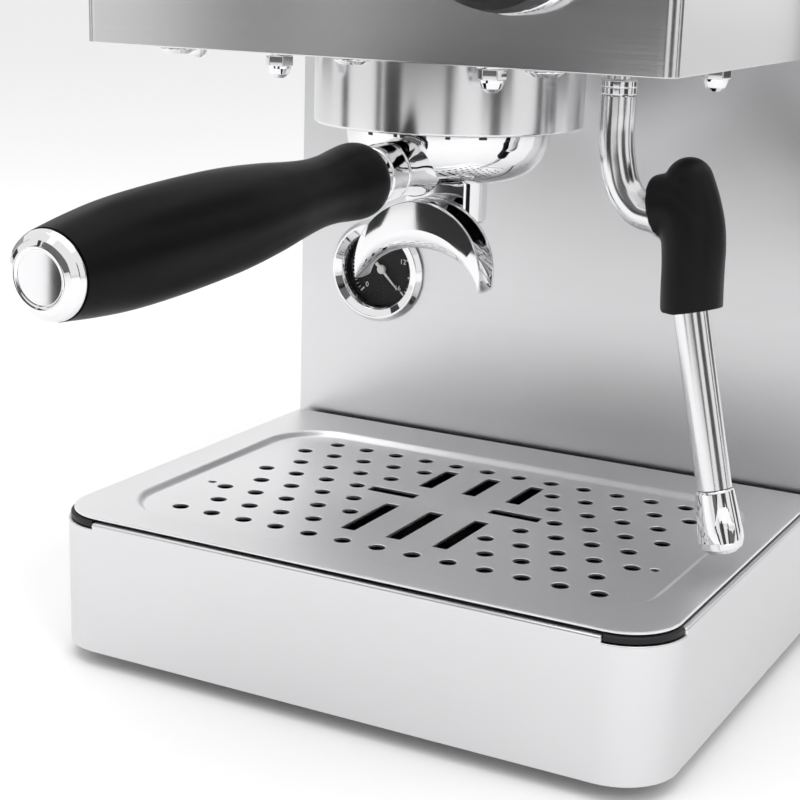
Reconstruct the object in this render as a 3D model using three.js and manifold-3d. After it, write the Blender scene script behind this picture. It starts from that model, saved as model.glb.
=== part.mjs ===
// Single-boiler home espresso machine with a 57 mm portafilter, a swivelling steam wand and a
// drip tray that pulls out to the front. Millimetres, +Z up. The front of the machine looks
// along -Y. Pieces are drawn with x = 0 on the middle plane, y = 0 on the front of the base and
// z = 0 on the counter, and the whole group is then moved so that its origin is under the middle
// of its overall box.
import * as THREE from 'three';
import { mergeVertices } from 'three/addons/utils/BufferGeometryUtils.js';
import Module from 'manifold-3d';

const wasm = await Module();
wasm.setup();

// ---- Driving dimensions ----
const WIDTH = 230;
const HALF = WIDTH / 2;
const CABINET_BACK = 385;
const TOP = 340;
const SHEET = 1.5;
const GAP = 0.3;

const FOOT_HEIGHT = 5.7;
const TRAY_TOP = 53;
const TRAY_DEPTH = 168;
const TRAY_CORNER = 20;
const FOLD = 1.5;
const SPLASH_Y = 170;

const HEAD_HALF = 102.5;
const HEAD_FRONT = 10;
const HEAD_BOTTOM = 216.5;
const HEAD_CORNER = 5;
const SHELL_TOP = 332;

const GROUP_Y = 76;
const BELL_RADIUS = 45.5;
const BELL_BOTTOM = 192.5;

const HANDLE_REAR_Y = 17.5;
const HANDLE_REAR_Z = 179.5;
const HANDLE_DROOP = Math.atan2(8, 150);
const GRIP_LENGTH = 150;
const CAP_LENGTH = 4.6;

const WAND_X = 62.4;
const WAND_Y = 72;
const TUBE_RADIUS = 5.7;
const NECK_TUBE_RADIUS = 4.1;

const KNOB_X = 54;
const KNOB_Z = 258;

const GAUGE_X = -78;
const GAUGE_Z = 119.3;

const SWITCH_Z = 290;
const SWITCH_PITCH = 27;
const SWITCH_MIDDLE_X = -48;
const SWITCH_TILT = THREE.MathUtils.degToRad(-7);

const TANK_FRONT = 258;
const TANK_BACK = 376;
const TANK_HALF = 104;
const TANK_BOTTOM = 60;
const LID_FRONT = 252.5;

const INLET_X = 62;
const INLET_Z = 44;
const INLET_FLANGE = 2;

// ---- Materials ----
const finish = (color, roughness, metalness) =>
  new THREE.MeshStandardMaterial({ color, roughness, metalness });
const steel = finish(0xc9cacb, 0.38, 0.9);
const chrome = finish(0xe6e7e8, 0.08, 1);
const blackPlastic = finish(0x131313, 0.5, 0);
const rubber = finish(0x0e0e0e, 0.85, 0);
const brass = finish(0xb59a55, 0.3, 1);
const dialBlack = finish(0x101010, 0.6, 0);
const pointerWhite = finish(0xf4f4f2, 0.5, 0);
const clear = finish(0xe8eef0, 0.05, 0);
const smoky = finish(0x9aa3a8, 0.2, 0);
const amber = finish(0xd98a2b, 0.3, 0);
const boardGreen = finish(0x2c6a4a, 0.6, 0);
const hoseWhite = finish(0xdedcd4, 0.5, 0);

// ---- Geometry helpers ----
function signedVolume(positions, index) {
  const corner = [new THREE.Vector3(), new THREE.Vector3(), new THREE.Vector3()];
  let sum = 0;
  for (let i = 0; i < index.length; i += 3) {
    corner.forEach((point, k) => point.fromArray(positions, 3 * index[i + k]));
    sum += corner[0].dot(corner[1].clone().cross(corner[2]));
  }
  return sum / 6;
}

// A closed three.js geometry becomes a solid: shared vertices merged, collapsed triangles left
// out, faces turned to point out.
function solid(geometry) {
  const bare = geometry.clone();
  bare.deleteAttribute('normal');
  bare.deleteAttribute('uv');
  const merged = mergeVertices(bare, 1e-4);
  const positions = merged.attributes.position.array;
  const raw = merged.index.array;
  const index = [];
  for (let i = 0; i < raw.length; i += 3) {
    const [a, b, c] = [raw[i], raw[i + 1], raw[i + 2]];
    if (a !== b && b !== c && a !== c) index.push(a, b, c);
  }
  if (signedVolume(positions, index) < 0) index.reverse();
  return new wasm.Manifold(new wasm.Mesh({
    numProp: 3,
    vertProperties: new Float32Array(positions),
    triVerts: new Uint32Array(index),
  }));
}

function geometryOf(body) {
  const data = body.getMesh();
  const geometry = new THREE.BufferGeometry();
  geometry.setAttribute('position', new THREE.BufferAttribute(data.vertProperties, 3));
  geometry.setIndex(new THREE.BufferAttribute(data.triVerts, 1));
  geometry.computeVertexNormals();
  return geometry;
}

const joined = (first, ...rest) => rest.reduce((sum, next) => sum.add(next), first);
const cut = (first, ...rest) => rest.reduce((left, next) => left.subtract(next), first);

function block(x0, x1, y0, y1, z0, z1) {
  const geometry = new THREE.BoxGeometry(x1 - x0, y1 - y0, z1 - z0);
  geometry.translate((x0 + x1) / 2, (y0 + y1) / 2, (z0 + z1) / 2);
  return solid(geometry);
}

// An outline in the XY plane with its own radius on the front (low Y) and back corners.
function outline(halfWidth, front, back, frontRadius, backRadius) {
  const shape = new THREE.Shape();
  shape.moveTo(-halfWidth + frontRadius, front);
  shape.lineTo(halfWidth - frontRadius, front);
  if (frontRadius > 0) {
    shape.absarc(halfWidth - frontRadius, front + frontRadius, frontRadius, -Math.PI / 2, 0);
  }
  shape.lineTo(halfWidth, back - backRadius);
  if (backRadius > 0) {
    shape.absarc(halfWidth - backRadius, back - backRadius, backRadius, 0, Math.PI / 2);
  }
  shape.lineTo(-halfWidth + backRadius, back);
  if (backRadius > 0) {
    shape.absarc(-halfWidth + backRadius, back - backRadius, backRadius, Math.PI / 2, Math.PI);
  }
  shape.lineTo(-halfWidth, front + frontRadius);
  if (frontRadius > 0) {
    shape.absarc(-halfWidth + frontRadius, front + frontRadius, frontRadius, Math.PI, 1.5 * Math.PI);
  }
  return shape;
}

function prism(shape, z0, z1, curveSegments = 5) {
  const settings = { depth: z1 - z0, bevelEnabled: false, curveSegments };
  const geometry = new THREE.ExtrudeGeometry(shape, settings);
  geometry.translate(0, 0, z0);
  return solid(geometry);
}

// A round body on an upright axis through (x, y); the profile is a list of [radius, z].
function turned(profile, x = 0, y = 0, segments = 24) {
  const geometry = new THREE.LatheGeometry(profile.map(([r, z]) => new THREE.Vector2(r, z)), segments);
  geometry.rotateX(Math.PI / 2);
  geometry.translate(x, y, 0);
  return solid(geometry);
}

// A round body on an axis along Y through (x, z); the profile is a list of [radius, y].
function turnedAlongY(profile, x, z, segments = 24) {
  const geometry = new THREE.LatheGeometry(profile.map(([r, y]) => new THREE.Vector2(r, y)), segments);
  geometry.translate(x, 0, z);
  return solid(geometry);
}

const disc = (radius, z0, z1, x, y, segments) =>
  turned([[0, z0], [radius, z0], [radius, z1], [0, z1]], x, y, segments);
const discAlongY = (radius, y0, y1, x, z, segments) =>
  turnedAlongY([[0, y0], [radius, y0], [radius, y1], [0, y1]], x, z, segments);
const ring = (inner, outer, z0, z1, x, y, segments) =>
  turned([[inner, z0], [outer, z0], [outer, z1], [inner, z1], [inner, z0]], x, y, segments);

function tube(points, radius, steps, sides = 12) {
  const section = new THREE.Shape();
  section.absarc(0, 0, radius, 0, 2 * Math.PI);
  const path = new THREE.CatmullRomCurve3(points.map((p) => new THREE.Vector3(...p)), false, 'centripetal');
  return solid(new THREE.ExtrudeGeometry(section, { steps, extrudePath: path, curveSegments: sides / 2 }));
}

const machine = new THREE.Group();
function add(name, body, material, parent = machine) {
  const mesh = new THREE.Mesh(geometryOf(body), material);
  mesh.name = name;
  parent.add(mesh);
  return mesh;
}

// ---- Floor and feet ----
const FLOOR_TOP = FOOT_HEIGHT + GAP + 2;
const floorOutline = outline(HALF - 4, 6, CABINET_BACK - 4, 24, 6);
add('chassis_floor', prism(floorOutline, FOOT_HEIGHT + GAP, FLOOR_TOP), steel);

const FOOT_X = 90;
const FOOT_ROWS = [['front', 36], ['rear', 355]];
for (const [row, y] of FOOT_ROWS) {
  for (const [side, x] of [['left', -FOOT_X], ['right', FOOT_X]]) {
    const profile = [[0, 0], [8.5, 0], [10, 1.5], [10, FOOT_HEIGHT], [0, FOOT_HEIGHT]];
    add(`foot_${row}_${side}`, turned(profile, x, y, 16), rubber);
  }
}

// ---- Tray drawer: folded steel housing, black drip pan and perforated grille ----
const WALL_TOP = TRAY_TOP - FOLD;
const FOLD_DEPTH = 6;
function trayHousing() {
  const wall = cut(
    prism(outline(HALF, 0, TRAY_DEPTH, TRAY_CORNER, 0), FOOT_HEIGHT, WALL_TOP, 6),
    prism(outline(HALF - SHEET, SHEET, TRAY_DEPTH + 1, TRAY_CORNER - SHEET, 0), 0, TRAY_TOP, 6),
  );
  const corner = HALF - TRAY_CORNER;
  const low = WALL_TOP - SHEET;
  return joined(
    wall,
    block(-corner, corner, 0, FOLD_DEPTH, low, TRAY_TOP),
    block(-HALF, -HALF + FOLD_DEPTH, TRAY_CORNER, TRAY_DEPTH, low, TRAY_TOP),
    block(HALF - FOLD_DEPTH, HALF, TRAY_CORNER, TRAY_DEPTH, low, TRAY_TOP),
  );
}
add('tray_housing', trayHousing(), steel);

const PAN_RIM_TOP = TRAY_TOP + 1;
const PAN_HALF = HALF - 8;
const PAN_FRONT = 8;
const PAN_BACK = 160;
const PAN_WALL = 2;
function dripPan() {
  const corner = HALF - TRAY_CORNER + GAP;
  const under = WALL_TOP - SHEET - 1;
  const over = TRAY_TOP + GAP;
  const rim = cut(
    prism(outline(HALF - 0.8, 0.8, TRAY_DEPTH - 1, TRAY_CORNER - 0.8, 0), WALL_TOP + GAP, PAN_RIM_TOP, 6),
    block(-corner, corner, -1, FOLD_DEPTH + GAP, under, over),
    block(-HALF - 1, -HALF + FOLD_DEPTH + GAP, TRAY_CORNER - GAP, TRAY_DEPTH, under, over),
    block(HALF - FOLD_DEPTH - GAP, HALF + 1, TRAY_CORNER - GAP, TRAY_DEPTH, under, over),
  );
  const basin = prism(outline(PAN_HALF, PAN_FRONT, PAN_BACK, 4, 4), 12, PAN_RIM_TOP, 6);
  const hollow = prism(
    outline(PAN_HALF - PAN_WALL, PAN_FRONT + PAN_WALL, PAN_BACK - PAN_WALL, 2, 2),
    12 + PAN_WALL, TRAY_TOP + 5, 6,
  );
  return cut(joined(rim, basin), hollow);
}
add('drip_pan', dripPan(), blackPlastic);

const PLATE_LOW = PAN_RIM_TOP + GAP;
const PLATE_THICK = 1.2;
const PLATE_DIP = 1;
const RECESS_HALF = 100;
const RECESS_FRONT = 16;
const RECESS_BACK = 144.5;
const RECESS_CORNER = 24;
const HOLE_RADIUS = 3;
const HOLE_PITCH = 13.46;
const ROW_PITCH = 14.23;
const FIRST_ROW_Y = 33.4;
const HOLE_ROWS = 8;
const SLOT_HALF = 3;
const SLOT_X = 18;

function grilleHoles() {
  const holes = [];
  for (let row = 0; row < HOLE_ROWS; row += 1) {
    const count = row % 2 === 0 ? 13 : 12;
    const y = FIRST_ROW_Y + row * ROW_PITCH;
    for (let i = 0; i < count; i += 1) {
      const x = (i - (count - 1) / 2) * HOLE_PITCH;
      const slotZone = row > 0 && row < HOLE_ROWS - 1 && Math.abs(x) < 1.6 * HOLE_PITCH;
      const crossSlot = row === 4 && Math.abs(x) < 2.1 * HOLE_PITCH;
      if (!slotZone && !crossSlot) holes.push([x, y]);
    }
  }
  return holes;
}

function grille() {
  const low = PLATE_LOW - PLATE_DIP;
  const high = PLATE_LOW + PLATE_THICK;
  const recess = outline(RECESS_HALF, RECESS_FRONT, RECESS_BACK, RECESS_CORNER, RECESS_CORNER);
  const dipped = outline(
    RECESS_HALF + 2, RECESS_FRONT - 2, RECESS_BACK + 2, RECESS_CORNER + 2, RECESS_CORNER + 2,
  );
  const flat = cut(
    prism(outline(HALF - 2, 2, TRAY_DEPTH - 1.5, TRAY_CORNER - 2, 0), PLATE_LOW, high, 6),
    prism(recess, low, high + 1),
  );
  let plate = joined(flat, prism(dipped, low, low + PLATE_THICK));
  const z0 = low - 1;
  const z1 = high + 1;
  for (const [x, y] of grilleHoles()) {
    plate = plate.subtract(disc(HOLE_RADIUS, z0, z1, x, y, 6));
  }
  for (const x of [-SLOT_X, 0, SLOT_X]) {
    plate = plate.subtract(block(x - SLOT_HALF, x + SLOT_HALF, 44, 78, z0, z1));
    plate = plate.subtract(block(x - SLOT_HALF, x + SLOT_HALF, 102, 126, z0, z1));
  }
  const crossY = FIRST_ROW_Y + 4 * ROW_PITCH;
  for (const side of [-1, 1]) {
    const near = side * (SLOT_X - SLOT_HALF);
    const far = side * (SLOT_X + 17);
    plate = plate.subtract(
      block(Math.min(near, far), Math.max(near, far), crossY - SLOT_HALF, crossY + SLOT_HALF, z0, z1));
  }
  return plate;
}
add('drip_grille', grille(), steel);

// ---- Cabinet ----
const PANEL_HOLE = 17.6;
const SPLASH_TOP = HEAD_BOTTOM - GAP;
add('splash_panel', cut(
  block(-HALF, HALF, SPLASH_Y, SPLASH_Y + SHEET, FLOOR_TOP + GAP, SPLASH_TOP),
  discAlongY(PANEL_HOLE, SPLASH_Y - 1, SPLASH_Y + 3, GAUGE_X, GAUGE_Z),
), steel);

const CABINET_FRONT = SPLASH_Y + SHEET + GAP;
const SHELL_LOW = FOOT_HEIGHT + GAP;
function bodyShell() {
  const inner = HALF - SHEET;
  const windowHalf = HEAD_HALF + GAP - SHEET;
  let shell = cut(
    prism(outline(HALF, CABINET_FRONT, CABINET_BACK, 0, 12), SHELL_LOW, SHELL_TOP),
    prism(
      outline(inner, CABINET_FRONT + SHEET, CABINET_BACK - SHEET, 0, 12 - SHEET),
      SHELL_LOW - 1, SHELL_TOP + 1,
    ),
    block(-inner, inner, CABINET_FRONT - 1, CABINET_FRONT + 4, SHELL_LOW - 1, HEAD_BOTTOM),
    block(-windowHalf, windowHalf, CABINET_FRONT - 1, CABINET_FRONT + 4, HEAD_BOTTOM - 1, SHELL_TOP + 1),
    block(INLET_X - 14, INLET_X + 14, CABINET_BACK - 4, CABINET_BACK + 1, INLET_Z - 10.5, INLET_Z + 10.5),
  );
  for (let i = 0; i < 6; i += 1) {
    const z = 90 + 9 * i;
    shell = shell.subtract(block(-45, 45, CABINET_BACK - 4, CABINET_BACK + 1, z, z + 3));
  }
  return shell;
}
add('body_shell', bodyShell(), steel);

const SHELF_TOP = TANK_BOTTOM - 0.5;
const VALVE_X = 60;
const VALVE_Y = 317;
add('tank_shelf', cut(
  joined(
    block(-HALF + 2, HALF - 2, LID_FRONT, CABINET_BACK - 13, SHELF_TOP - SHEET, SHELF_TOP),
    block(-HALF + 2, HALF - 2, LID_FRONT - SHEET, LID_FRONT, SHELF_TOP - SHEET, SHELL_TOP - 2),
    disc(12, SHELF_TOP - 18, SHELF_TOP - SHEET, VALVE_X, VALVE_Y, 24),
  ),
  disc(8, SHELF_TOP - 12, SHELF_TOP + 1, VALVE_X, VALVE_Y, 24),
  disc(2, SHELF_TOP - 20, SHELF_TOP + 1, VALVE_X, VALVE_Y, 12),
), steel);

const tankOutline = (inset) =>
  outline(TANK_HALF - inset, TANK_FRONT + inset, TANK_BACK - inset, 14 - inset, 14 - inset);
const TANK_TOP = SHELL_TOP - 1;
add('water_tank', joined(
  cut(
    prism(tankOutline(0), TANK_BOTTOM, TANK_TOP, 5),
    prism(tankOutline(2.2), TANK_BOTTOM + 3, TANK_TOP + 1, 5),
  ),
  disc(7.5, TANK_BOTTOM - 8, TANK_BOTTOM + 1, VALVE_X, VALVE_Y, 24),
), smoky);

// ---- Head: front and sides in one wrap, a bottom plate and the cup tray over it ----
function headShell() {
  const inner = HEAD_HALF - SHEET;
  const back = SPLASH_Y + SHEET - 0.1;
  const switches = (3 * SWITCH_PITCH) / 2 - 2;
  return cut(
    prism(outline(HEAD_HALF, HEAD_FRONT, back, HEAD_CORNER, 0), HEAD_BOTTOM, SHELL_TOP),
    prism(
      outline(inner, HEAD_FRONT + SHEET, back + 2, HEAD_CORNER - SHEET, 0),
      HEAD_BOTTOM - 1, SHELL_TOP + 1,
    ),
    discAlongY(7, HEAD_FRONT - 1, HEAD_FRONT + 4, KNOB_X, KNOB_Z, 24),
    discAlongY(4.6, HEAD_FRONT - 1, HEAD_FRONT + 4, 8, SWITCH_Z, 24),
    block(SWITCH_MIDDLE_X - switches, SWITCH_MIDDLE_X + switches, HEAD_FRONT - 1, HEAD_FRONT + 4,
      SWITCH_Z - 12, SWITCH_Z + 12),
  );
}
add('head_shell', headShell(), steel);

const NUT_X = 38;
const NUT_REACH = 47;
function headBottomPlate() {
  let plate = prism(
    outline(HEAD_HALF - SHEET - GAP, HEAD_FRONT + SHEET + GAP, SPLASH_Y + SHEET, HEAD_CORNER - SHEET, 0),
    HEAD_BOTTOM, HEAD_BOTTOM + SHEET,
  );
  plate = plate.subtract(disc(30, 200, 230, 0, GROUP_Y));
  plate = plate.subtract(disc(NECK_TUBE_RADIUS + 0.8, 200, 230, WAND_X, WAND_Y, 24));
  return plate;
}
add('head_bottom_plate', headBottomPlate(), steel);

// The cup tray follows the head and the front part of the cabinet, so its outline is a wide T.
function tOutline(inset) {
  const head = HEAD_HALF - inset;
  const wide = HALF - inset;
  const radius = HEAD_CORNER - inset;
  const front = HEAD_FRONT + inset;
  const step = CABINET_FRONT + inset;
  const back = LID_FRONT - GAP - inset;
  const shape = new THREE.Shape();
  shape.moveTo(-head + radius, front);
  shape.lineTo(head - radius, front);
  shape.absarc(head - radius, front + radius, radius, -Math.PI / 2, 0);
  shape.lineTo(head, step);
  shape.lineTo(wide, step);
  shape.lineTo(wide, back);
  shape.lineTo(-wide, back);
  shape.lineTo(-wide, step);
  shape.lineTo(-head, step);
  shape.lineTo(-head, front + radius);
  shape.absarc(-head + radius, front + radius, radius, Math.PI, 1.5 * Math.PI);
  return shape;
}
const TRAY_LOW = SHELL_TOP + GAP;
add('cup_tray', cut(
  prism(tOutline(0), TRAY_LOW, TOP, 6),
  prism(tOutline(2), TRAY_LOW + 2, TOP + 1, 6),
), steel);

add('tank_lid', cut(
  prism(outline(HALF, LID_FRONT, CABINET_BACK, 0, 12), TRAY_LOW, TOP),
  prism(outline(HALF - 2, LID_FRONT + 2, CABINET_BACK - 2, 0, 10), TRAY_LOW - 1, TOP - 2),
), steel);

// ---- Boiler pressure gauge on the splash panel ----
const BEZEL_FRONT = SPLASH_Y - 3.6;
add('gauge_bezel', turnedAlongY([
  [15.2, SPLASH_Y - 0.4], [15.2, BEZEL_FRONT + 1.2], [16.4, BEZEL_FRONT], [18.2, BEZEL_FRONT],
  [19.4, BEZEL_FRONT + 1.4], [21.3, SPLASH_Y - 1.4], [21.3, SPLASH_Y - 0.4], [15.2, SPLASH_Y - 0.4],
], GAUGE_X, GAUGE_Z, 28), chrome);
add('gauge_case', turnedAlongY([
  [0, SPLASH_Y + 5], [16, SPLASH_Y + 5], [16, SPLASH_Y], [17.2, SPLASH_Y],
  [17.2, SPLASH_Y + 24], [0, SPLASH_Y + 24],
], GAUGE_X, GAUGE_Z), blackPlastic);
add('gauge_dial', discAlongY(15.7, SPLASH_Y + 4.2, SPLASH_Y + 4.7, GAUGE_X, GAUGE_Z), dialBlack);
add('gauge_glass', discAlongY(15.7, SPLASH_Y + 0.2, SPLASH_Y + 1.4, GAUGE_X, GAUGE_Z), clear);

function gaugePointer() {
  const hub = discAlongY(1.9, SPLASH_Y + 2.2, SPLASH_Y + 3.8, 0, 0, 16);
  const needle = block(-4, 12.5, SPLASH_Y + 2.6, SPLASH_Y + 3.2, -0.55, 0.55);
  const geometry = geometryOf(joined(hub, needle));
  geometry.rotateY(THREE.MathUtils.degToRad(45));
  geometry.translate(GAUGE_X, 0, GAUGE_Z);
  return solid(geometry);
}
add('gauge_pointer', gaugePointer(), pointerWhite);

// ---- Group head ----
const FLANGE_TOP = BELL_BOTTOM + 1.6;
const EAR_LOW = FLANGE_TOP + GAP;
const EAR_TOP = 196.6;
const UNLOCK_ANGLE = -50;

// A wedge of an annulus on the group axis, from one angle to another in degrees.
function sector(inner, outer, from, to, z0, z1) {
  const shape = new THREE.Shape();
  const a = THREE.MathUtils.degToRad(from);
  const b = THREE.MathUtils.degToRad(to);
  shape.absarc(0, 0, outer, a, b, false);
  shape.absarc(0, 0, inner, b, a, true);
  const settings = { depth: z1 - z0, bevelEnabled: false, curveSegments: 6 };
  const geometry = new THREE.ExtrudeGeometry(shape, settings);
  geometry.translate(0, GROUP_Y, z0);
  return solid(geometry);
}

function groupBell() {
  const bell = turned([
    [36.2, BELL_BOTTOM], [BELL_RADIUS - 0.8, BELL_BOTTOM], [BELL_RADIUS, BELL_BOTTOM + 0.8],
    [BELL_RADIUS, HEAD_BOTTOM - GAP], [40.2, HEAD_BOTTOM - GAP], [40.2, FLANGE_TOP],
    [36.2, FLANGE_TOP], [36.2, BELL_BOTTOM],
  ], 0, GROUP_Y, 32);
  const notch = (middle) => sector(34, 39.9, middle - 25, middle + 25, BELL_BOTTOM - 1, FLANGE_TOP + 1);
  return cut(bell, notch(UNLOCK_ANGLE), notch(UNLOCK_ANGLE + 180));
}
add('group_bell', groupBell(), chrome);

const GASKET_TOP = 200.7;
add('group_body', turned([
  [0, GASKET_TOP + GAP], [39.8, GASKET_TOP + GAP], [39.8, HEAD_BOTTOM - 1], [29, HEAD_BOTTOM - 1],
  [29, 227], [0, 227],
], 0, GROUP_Y, 28), brass);
add('group_gasket', ring(29.2, 35.6, GASKET_TOP - 2.4, GASKET_TOP, 0, GROUP_Y), rubber);
add('shower_screen', disc(28.6, GASKET_TOP - 1.2, GASKET_TOP, 0, GROUP_Y), steel);
add('screen_screw', disc(3.5, GASKET_TOP - 2.9, GASKET_TOP - 1.5, 0, GROUP_Y, 16), steel);

for (const [row, dy] of [['front', -NUT_REACH], ['rear', NUT_REACH]]) {
  for (const [side, dx] of [['left', -NUT_X], ['right', NUT_X]]) {
    const top = HEAD_BOTTOM - GAP;
    const profile = [
      [0, 207.6], [2.4, 208], [3.9, 209.8], [4.4, 211.4], [4.4, 215.2], [5.3, 215.2], [5.3, top], [0, top],
    ];
    add(`group_nut_${row}_${side}`, turned(profile, dx, GROUP_Y + dy, 12), chrome);
  }
}

// ---- Portafilter ----
const RIM_RADIUS = 34.5;
const BOWL_BOTTOM = 174;
const BOSS_RADIUS = 14;
const BOSS_BOTTOM = 159.5;
const OUTLET_RADIUS = 3;
const OUTLET_Z = 163;
const BASKET_LIP = 196.9;
const NECK_RADIUS = 8.6;
const SPOUT_FRONT = 55;
const SPOUT_BACK = 67;

const handleFrame = new THREE.Group();
handleFrame.position.set(0, HANDLE_REAR_Y, HANDLE_REAR_Z);
handleFrame.rotation.x = Math.PI / 2 + HANDLE_DROOP;
machine.add(handleFrame);
handleFrame.updateMatrix();

// A round body on the handle's axis; the profile's second number runs from the rear end of the
// grip towards the user.
const onHandle = (profile, segments = 24) => turned(profile, 0, 0, segments);

function portafilterBody() {
  const bowl = turned([
    [0, BOSS_BOTTOM], [BOSS_RADIUS - 1, BOSS_BOTTOM], [BOSS_RADIUS, BOSS_BOTTOM + 1],
    [BOSS_RADIUS, BOWL_BOTTOM], [20, BOWL_BOTTOM + 0.4], [27, BOWL_BOTTOM + 3],
    [32, BOWL_BOTTOM + 7.5], [RIM_RADIUS, BOWL_BOTTOM + 13], [RIM_RADIUS, EAR_TOP], [0, EAR_TOP],
  ], 0, GROUP_Y, 28);
  const ears = joined(
    sector(30, 39.4, -21, 21, EAR_LOW, EAR_TOP),
    sector(30, 39.4, 159, 201, EAR_LOW, EAR_TOP),
  );
  const neck = [[0, -26], [NECK_RADIUS, -26], [NECK_RADIUS, -14.5], [0, -14.5]];
  const neckGeometry = geometryOf(onHandle(neck, 20));
  neckGeometry.applyMatrix4(handleFrame.matrix);
  const hollow = turned([
    [0, OUTLET_Z], [4, OUTLET_Z], [4, BOWL_BOTTOM + 2], [24, BOWL_BOTTOM + 2],
    [30, BOWL_BOTTOM + 8], [30, EAR_TOP + 1], [0, EAR_TOP + 1],
  ], 0, GROUP_Y, 28);
  const seat = block(-20, 20, GROUP_Y - 20, SPOUT_BACK + GAP, BOSS_BOTTOM - 1, BOWL_BOTTOM - 0.6);
  const outlet = discAlongY(OUTLET_RADIUS, SPOUT_BACK - 2, GROUP_Y, 0, OUTLET_Z + 1, 12);
  return cut(joined(bowl, ears, solid(neckGeometry)), hollow, seat, outlet);
}
add('portafilter_body', portafilterBody(), chrome);

add('filter_basket', turned([
  [0, 177.4], [22, 177.4], [28, 182.5], [29.4, 184], [29.4, BASKET_LIP], [33.8, BASKET_LIP], [33.8, 198],
  [28.6, 198], [28.6, 184.4], [22, 178.4], [0, 178.4],
], 0, GROUP_Y, 28), steel);

// The twin spout is a crescent-shaped gutter, open at the top, that runs down to a lip on each
// side. It is bolted to a flat seat on the front of the boss, where the coffee comes out.
const LIP_RADIUS = 23.7;
const LIP_CENTRE_Z = 144.7;
const UNDER_RADIUS = 32;
const UNDER_CENTRE_Z = 119.8;
const GUTTER_WALL = 1.8;
const GUTTER_FLOOR = 1.2;
function cylinderAcross(radius, centreZ, front, back, segments) {
  return discAlongY(radius, front, back, 0, centreZ, segments);
}
function doubleSpout() {
  const crescent = cut(
    cylinderAcross(LIP_RADIUS, LIP_CENTRE_Z, SPOUT_FRONT, SPOUT_BACK, 48),
    cylinderAcross(UNDER_RADIUS, UNDER_CENTRE_Z, SPOUT_FRONT - 1, SPOUT_BACK + 1, 64),
  );
  const channel = cut(
    block(-40, 40, SPOUT_FRONT + GUTTER_WALL, SPOUT_BACK - GUTTER_WALL, UNDER_CENTRE_Z, BOWL_BOTTOM),
    cylinderAcross(UNDER_RADIUS + GUTTER_FLOOR, UNDER_CENTRE_Z, SPOUT_FRONT - 1, SPOUT_BACK + 1, 64),
  );
  const inlet = discAlongY(OUTLET_RADIUS, SPOUT_BACK - 4, SPOUT_BACK + 1, 0, OUTLET_Z + 1, 12);
  return cut(crescent, channel, inlet);
}
add('double_spout', doubleSpout(), chrome);

add('handle_ferrule', onHandle([
  [0, -14.2], [9.4, -14.2], [9.4, -4.4], [8.9, -4], [8.9, -3.4], [9.4, -3], [9.4, -GAP], [0, -GAP],
]), chrome, handleFrame);
add('handle_grip', onHandle([
  [0, 0], [9.2, 0], [11.2, 1.8], [11.9, 5], [11.2, 12], [10.4, 20], [10.5, 30], [11.6, 42], [13.2, 56],
  [14.5, 74], [15, 92], [15, 112], [14.5, 126], [13.3, 138], [11.5, GRIP_LENGTH], [0, GRIP_LENGTH],
]), blackPlastic, handleFrame);
add('handle_end_cap', onHandle([
  [0, GRIP_LENGTH + GAP], [11.5, GRIP_LENGTH + GAP], [11.4, GRIP_LENGTH + 1.2],
  [10.2, GRIP_LENGTH + 3], [7.4, GRIP_LENGTH + CAP_LENGTH], [0, GRIP_LENGTH + CAP_LENGTH],
]), chrome, handleFrame);

// ---- Steam wand ----
const NOZZLE_TIP = new THREE.Vector3(109.8, 66, 63.4);
const GRIP_FOOT = new THREE.Vector3(92, 70, 140);
const wandDown = NOZZLE_TIP.clone().sub(GRIP_FOOT).normalize();
const nozzleTop = NOZZLE_TIP.clone().addScaledVector(wandDown, -21);
const tubeEnd = nozzleTop.clone().addScaledVector(wandDown, -GAP);
const COLLAR_LOW = 206.2;
const wandRoute = [
  [WAND_X, WAND_Y, 205.9], [WAND_X, WAND_Y, 196], [WAND_X + 0.8, WAND_Y, 186],
  [66, WAND_Y, 176.5], [71.8, WAND_Y - 0.3, 170.4], [79.5, WAND_Y - 1, 168.4], [86.6, WAND_Y - 1.6, 163],
  [90, WAND_Y - 2, 152], GRIP_FOOT.toArray(), tubeEnd.toArray(),
];
add('steam_tube', joined(
  tube(wandRoute, TUBE_RADIUS, 28, 10),
  disc(NECK_TUBE_RADIUS, 205, 230, WAND_X, WAND_Y, 20),
), chrome);
add('wand_collar', ring(
  NECK_TUBE_RADIUS + GAP, 5.9, COLLAR_LOW, COLLAR_LOW + 5.1, WAND_X, WAND_Y, 24,
), chrome);

// The rubber elbow: a sleeve over the bend, a ridge along its outer side that ends in a thumb rest.
function wandGrip() {
  const sleeve = tube([
    [77.8, 71, 172], [84.4, 70.7, 173], [89.8, 70.4, 166.5], [91.4, 70.2, 157], [91.8, 70, 147],
    GRIP_FOOT.toArray(),
  ], 9.8, 12, 12);
  const ridge = tube([
    [88.4, 70.2, 181], [91.2, 70.2, 174], [93.3, 70.2, 166], [93.9, 70.1, 156], GRIP_FOOT.toArray(),
  ], 7.6, 10, 12);
  const thumbRest = new THREE.SphereGeometry(7.6, 12, 8);
  thumbRest.translate(88.4, 70.2, 181);
  const body = joined(sleeve, ridge, solid(thumbRest));
  const foot = block(60, 130, 40, 100, 120, GRIP_FOOT.z - 1.5);
  return cut(body, foot, tube(wandRoute, TUBE_RADIUS + 0.6, 28, 10));
}
add('wand_grip', wandGrip(), rubber);

const nozzleFrame = new THREE.Group();
nozzleFrame.position.copy(nozzleTop);
nozzleFrame.quaternion.setFromUnitVectors(new THREE.Vector3(0, 0, 1), wandDown);
machine.add(nozzleFrame);
add('steam_nozzle', turned([
  [0, 0], [6.2, 0], [6.8, 8], [7.5, 15], [7.1, 18.2], [5.4, 21], [0, 21],
], 0, 0, 24), chrome, nozzleFrame);

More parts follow.
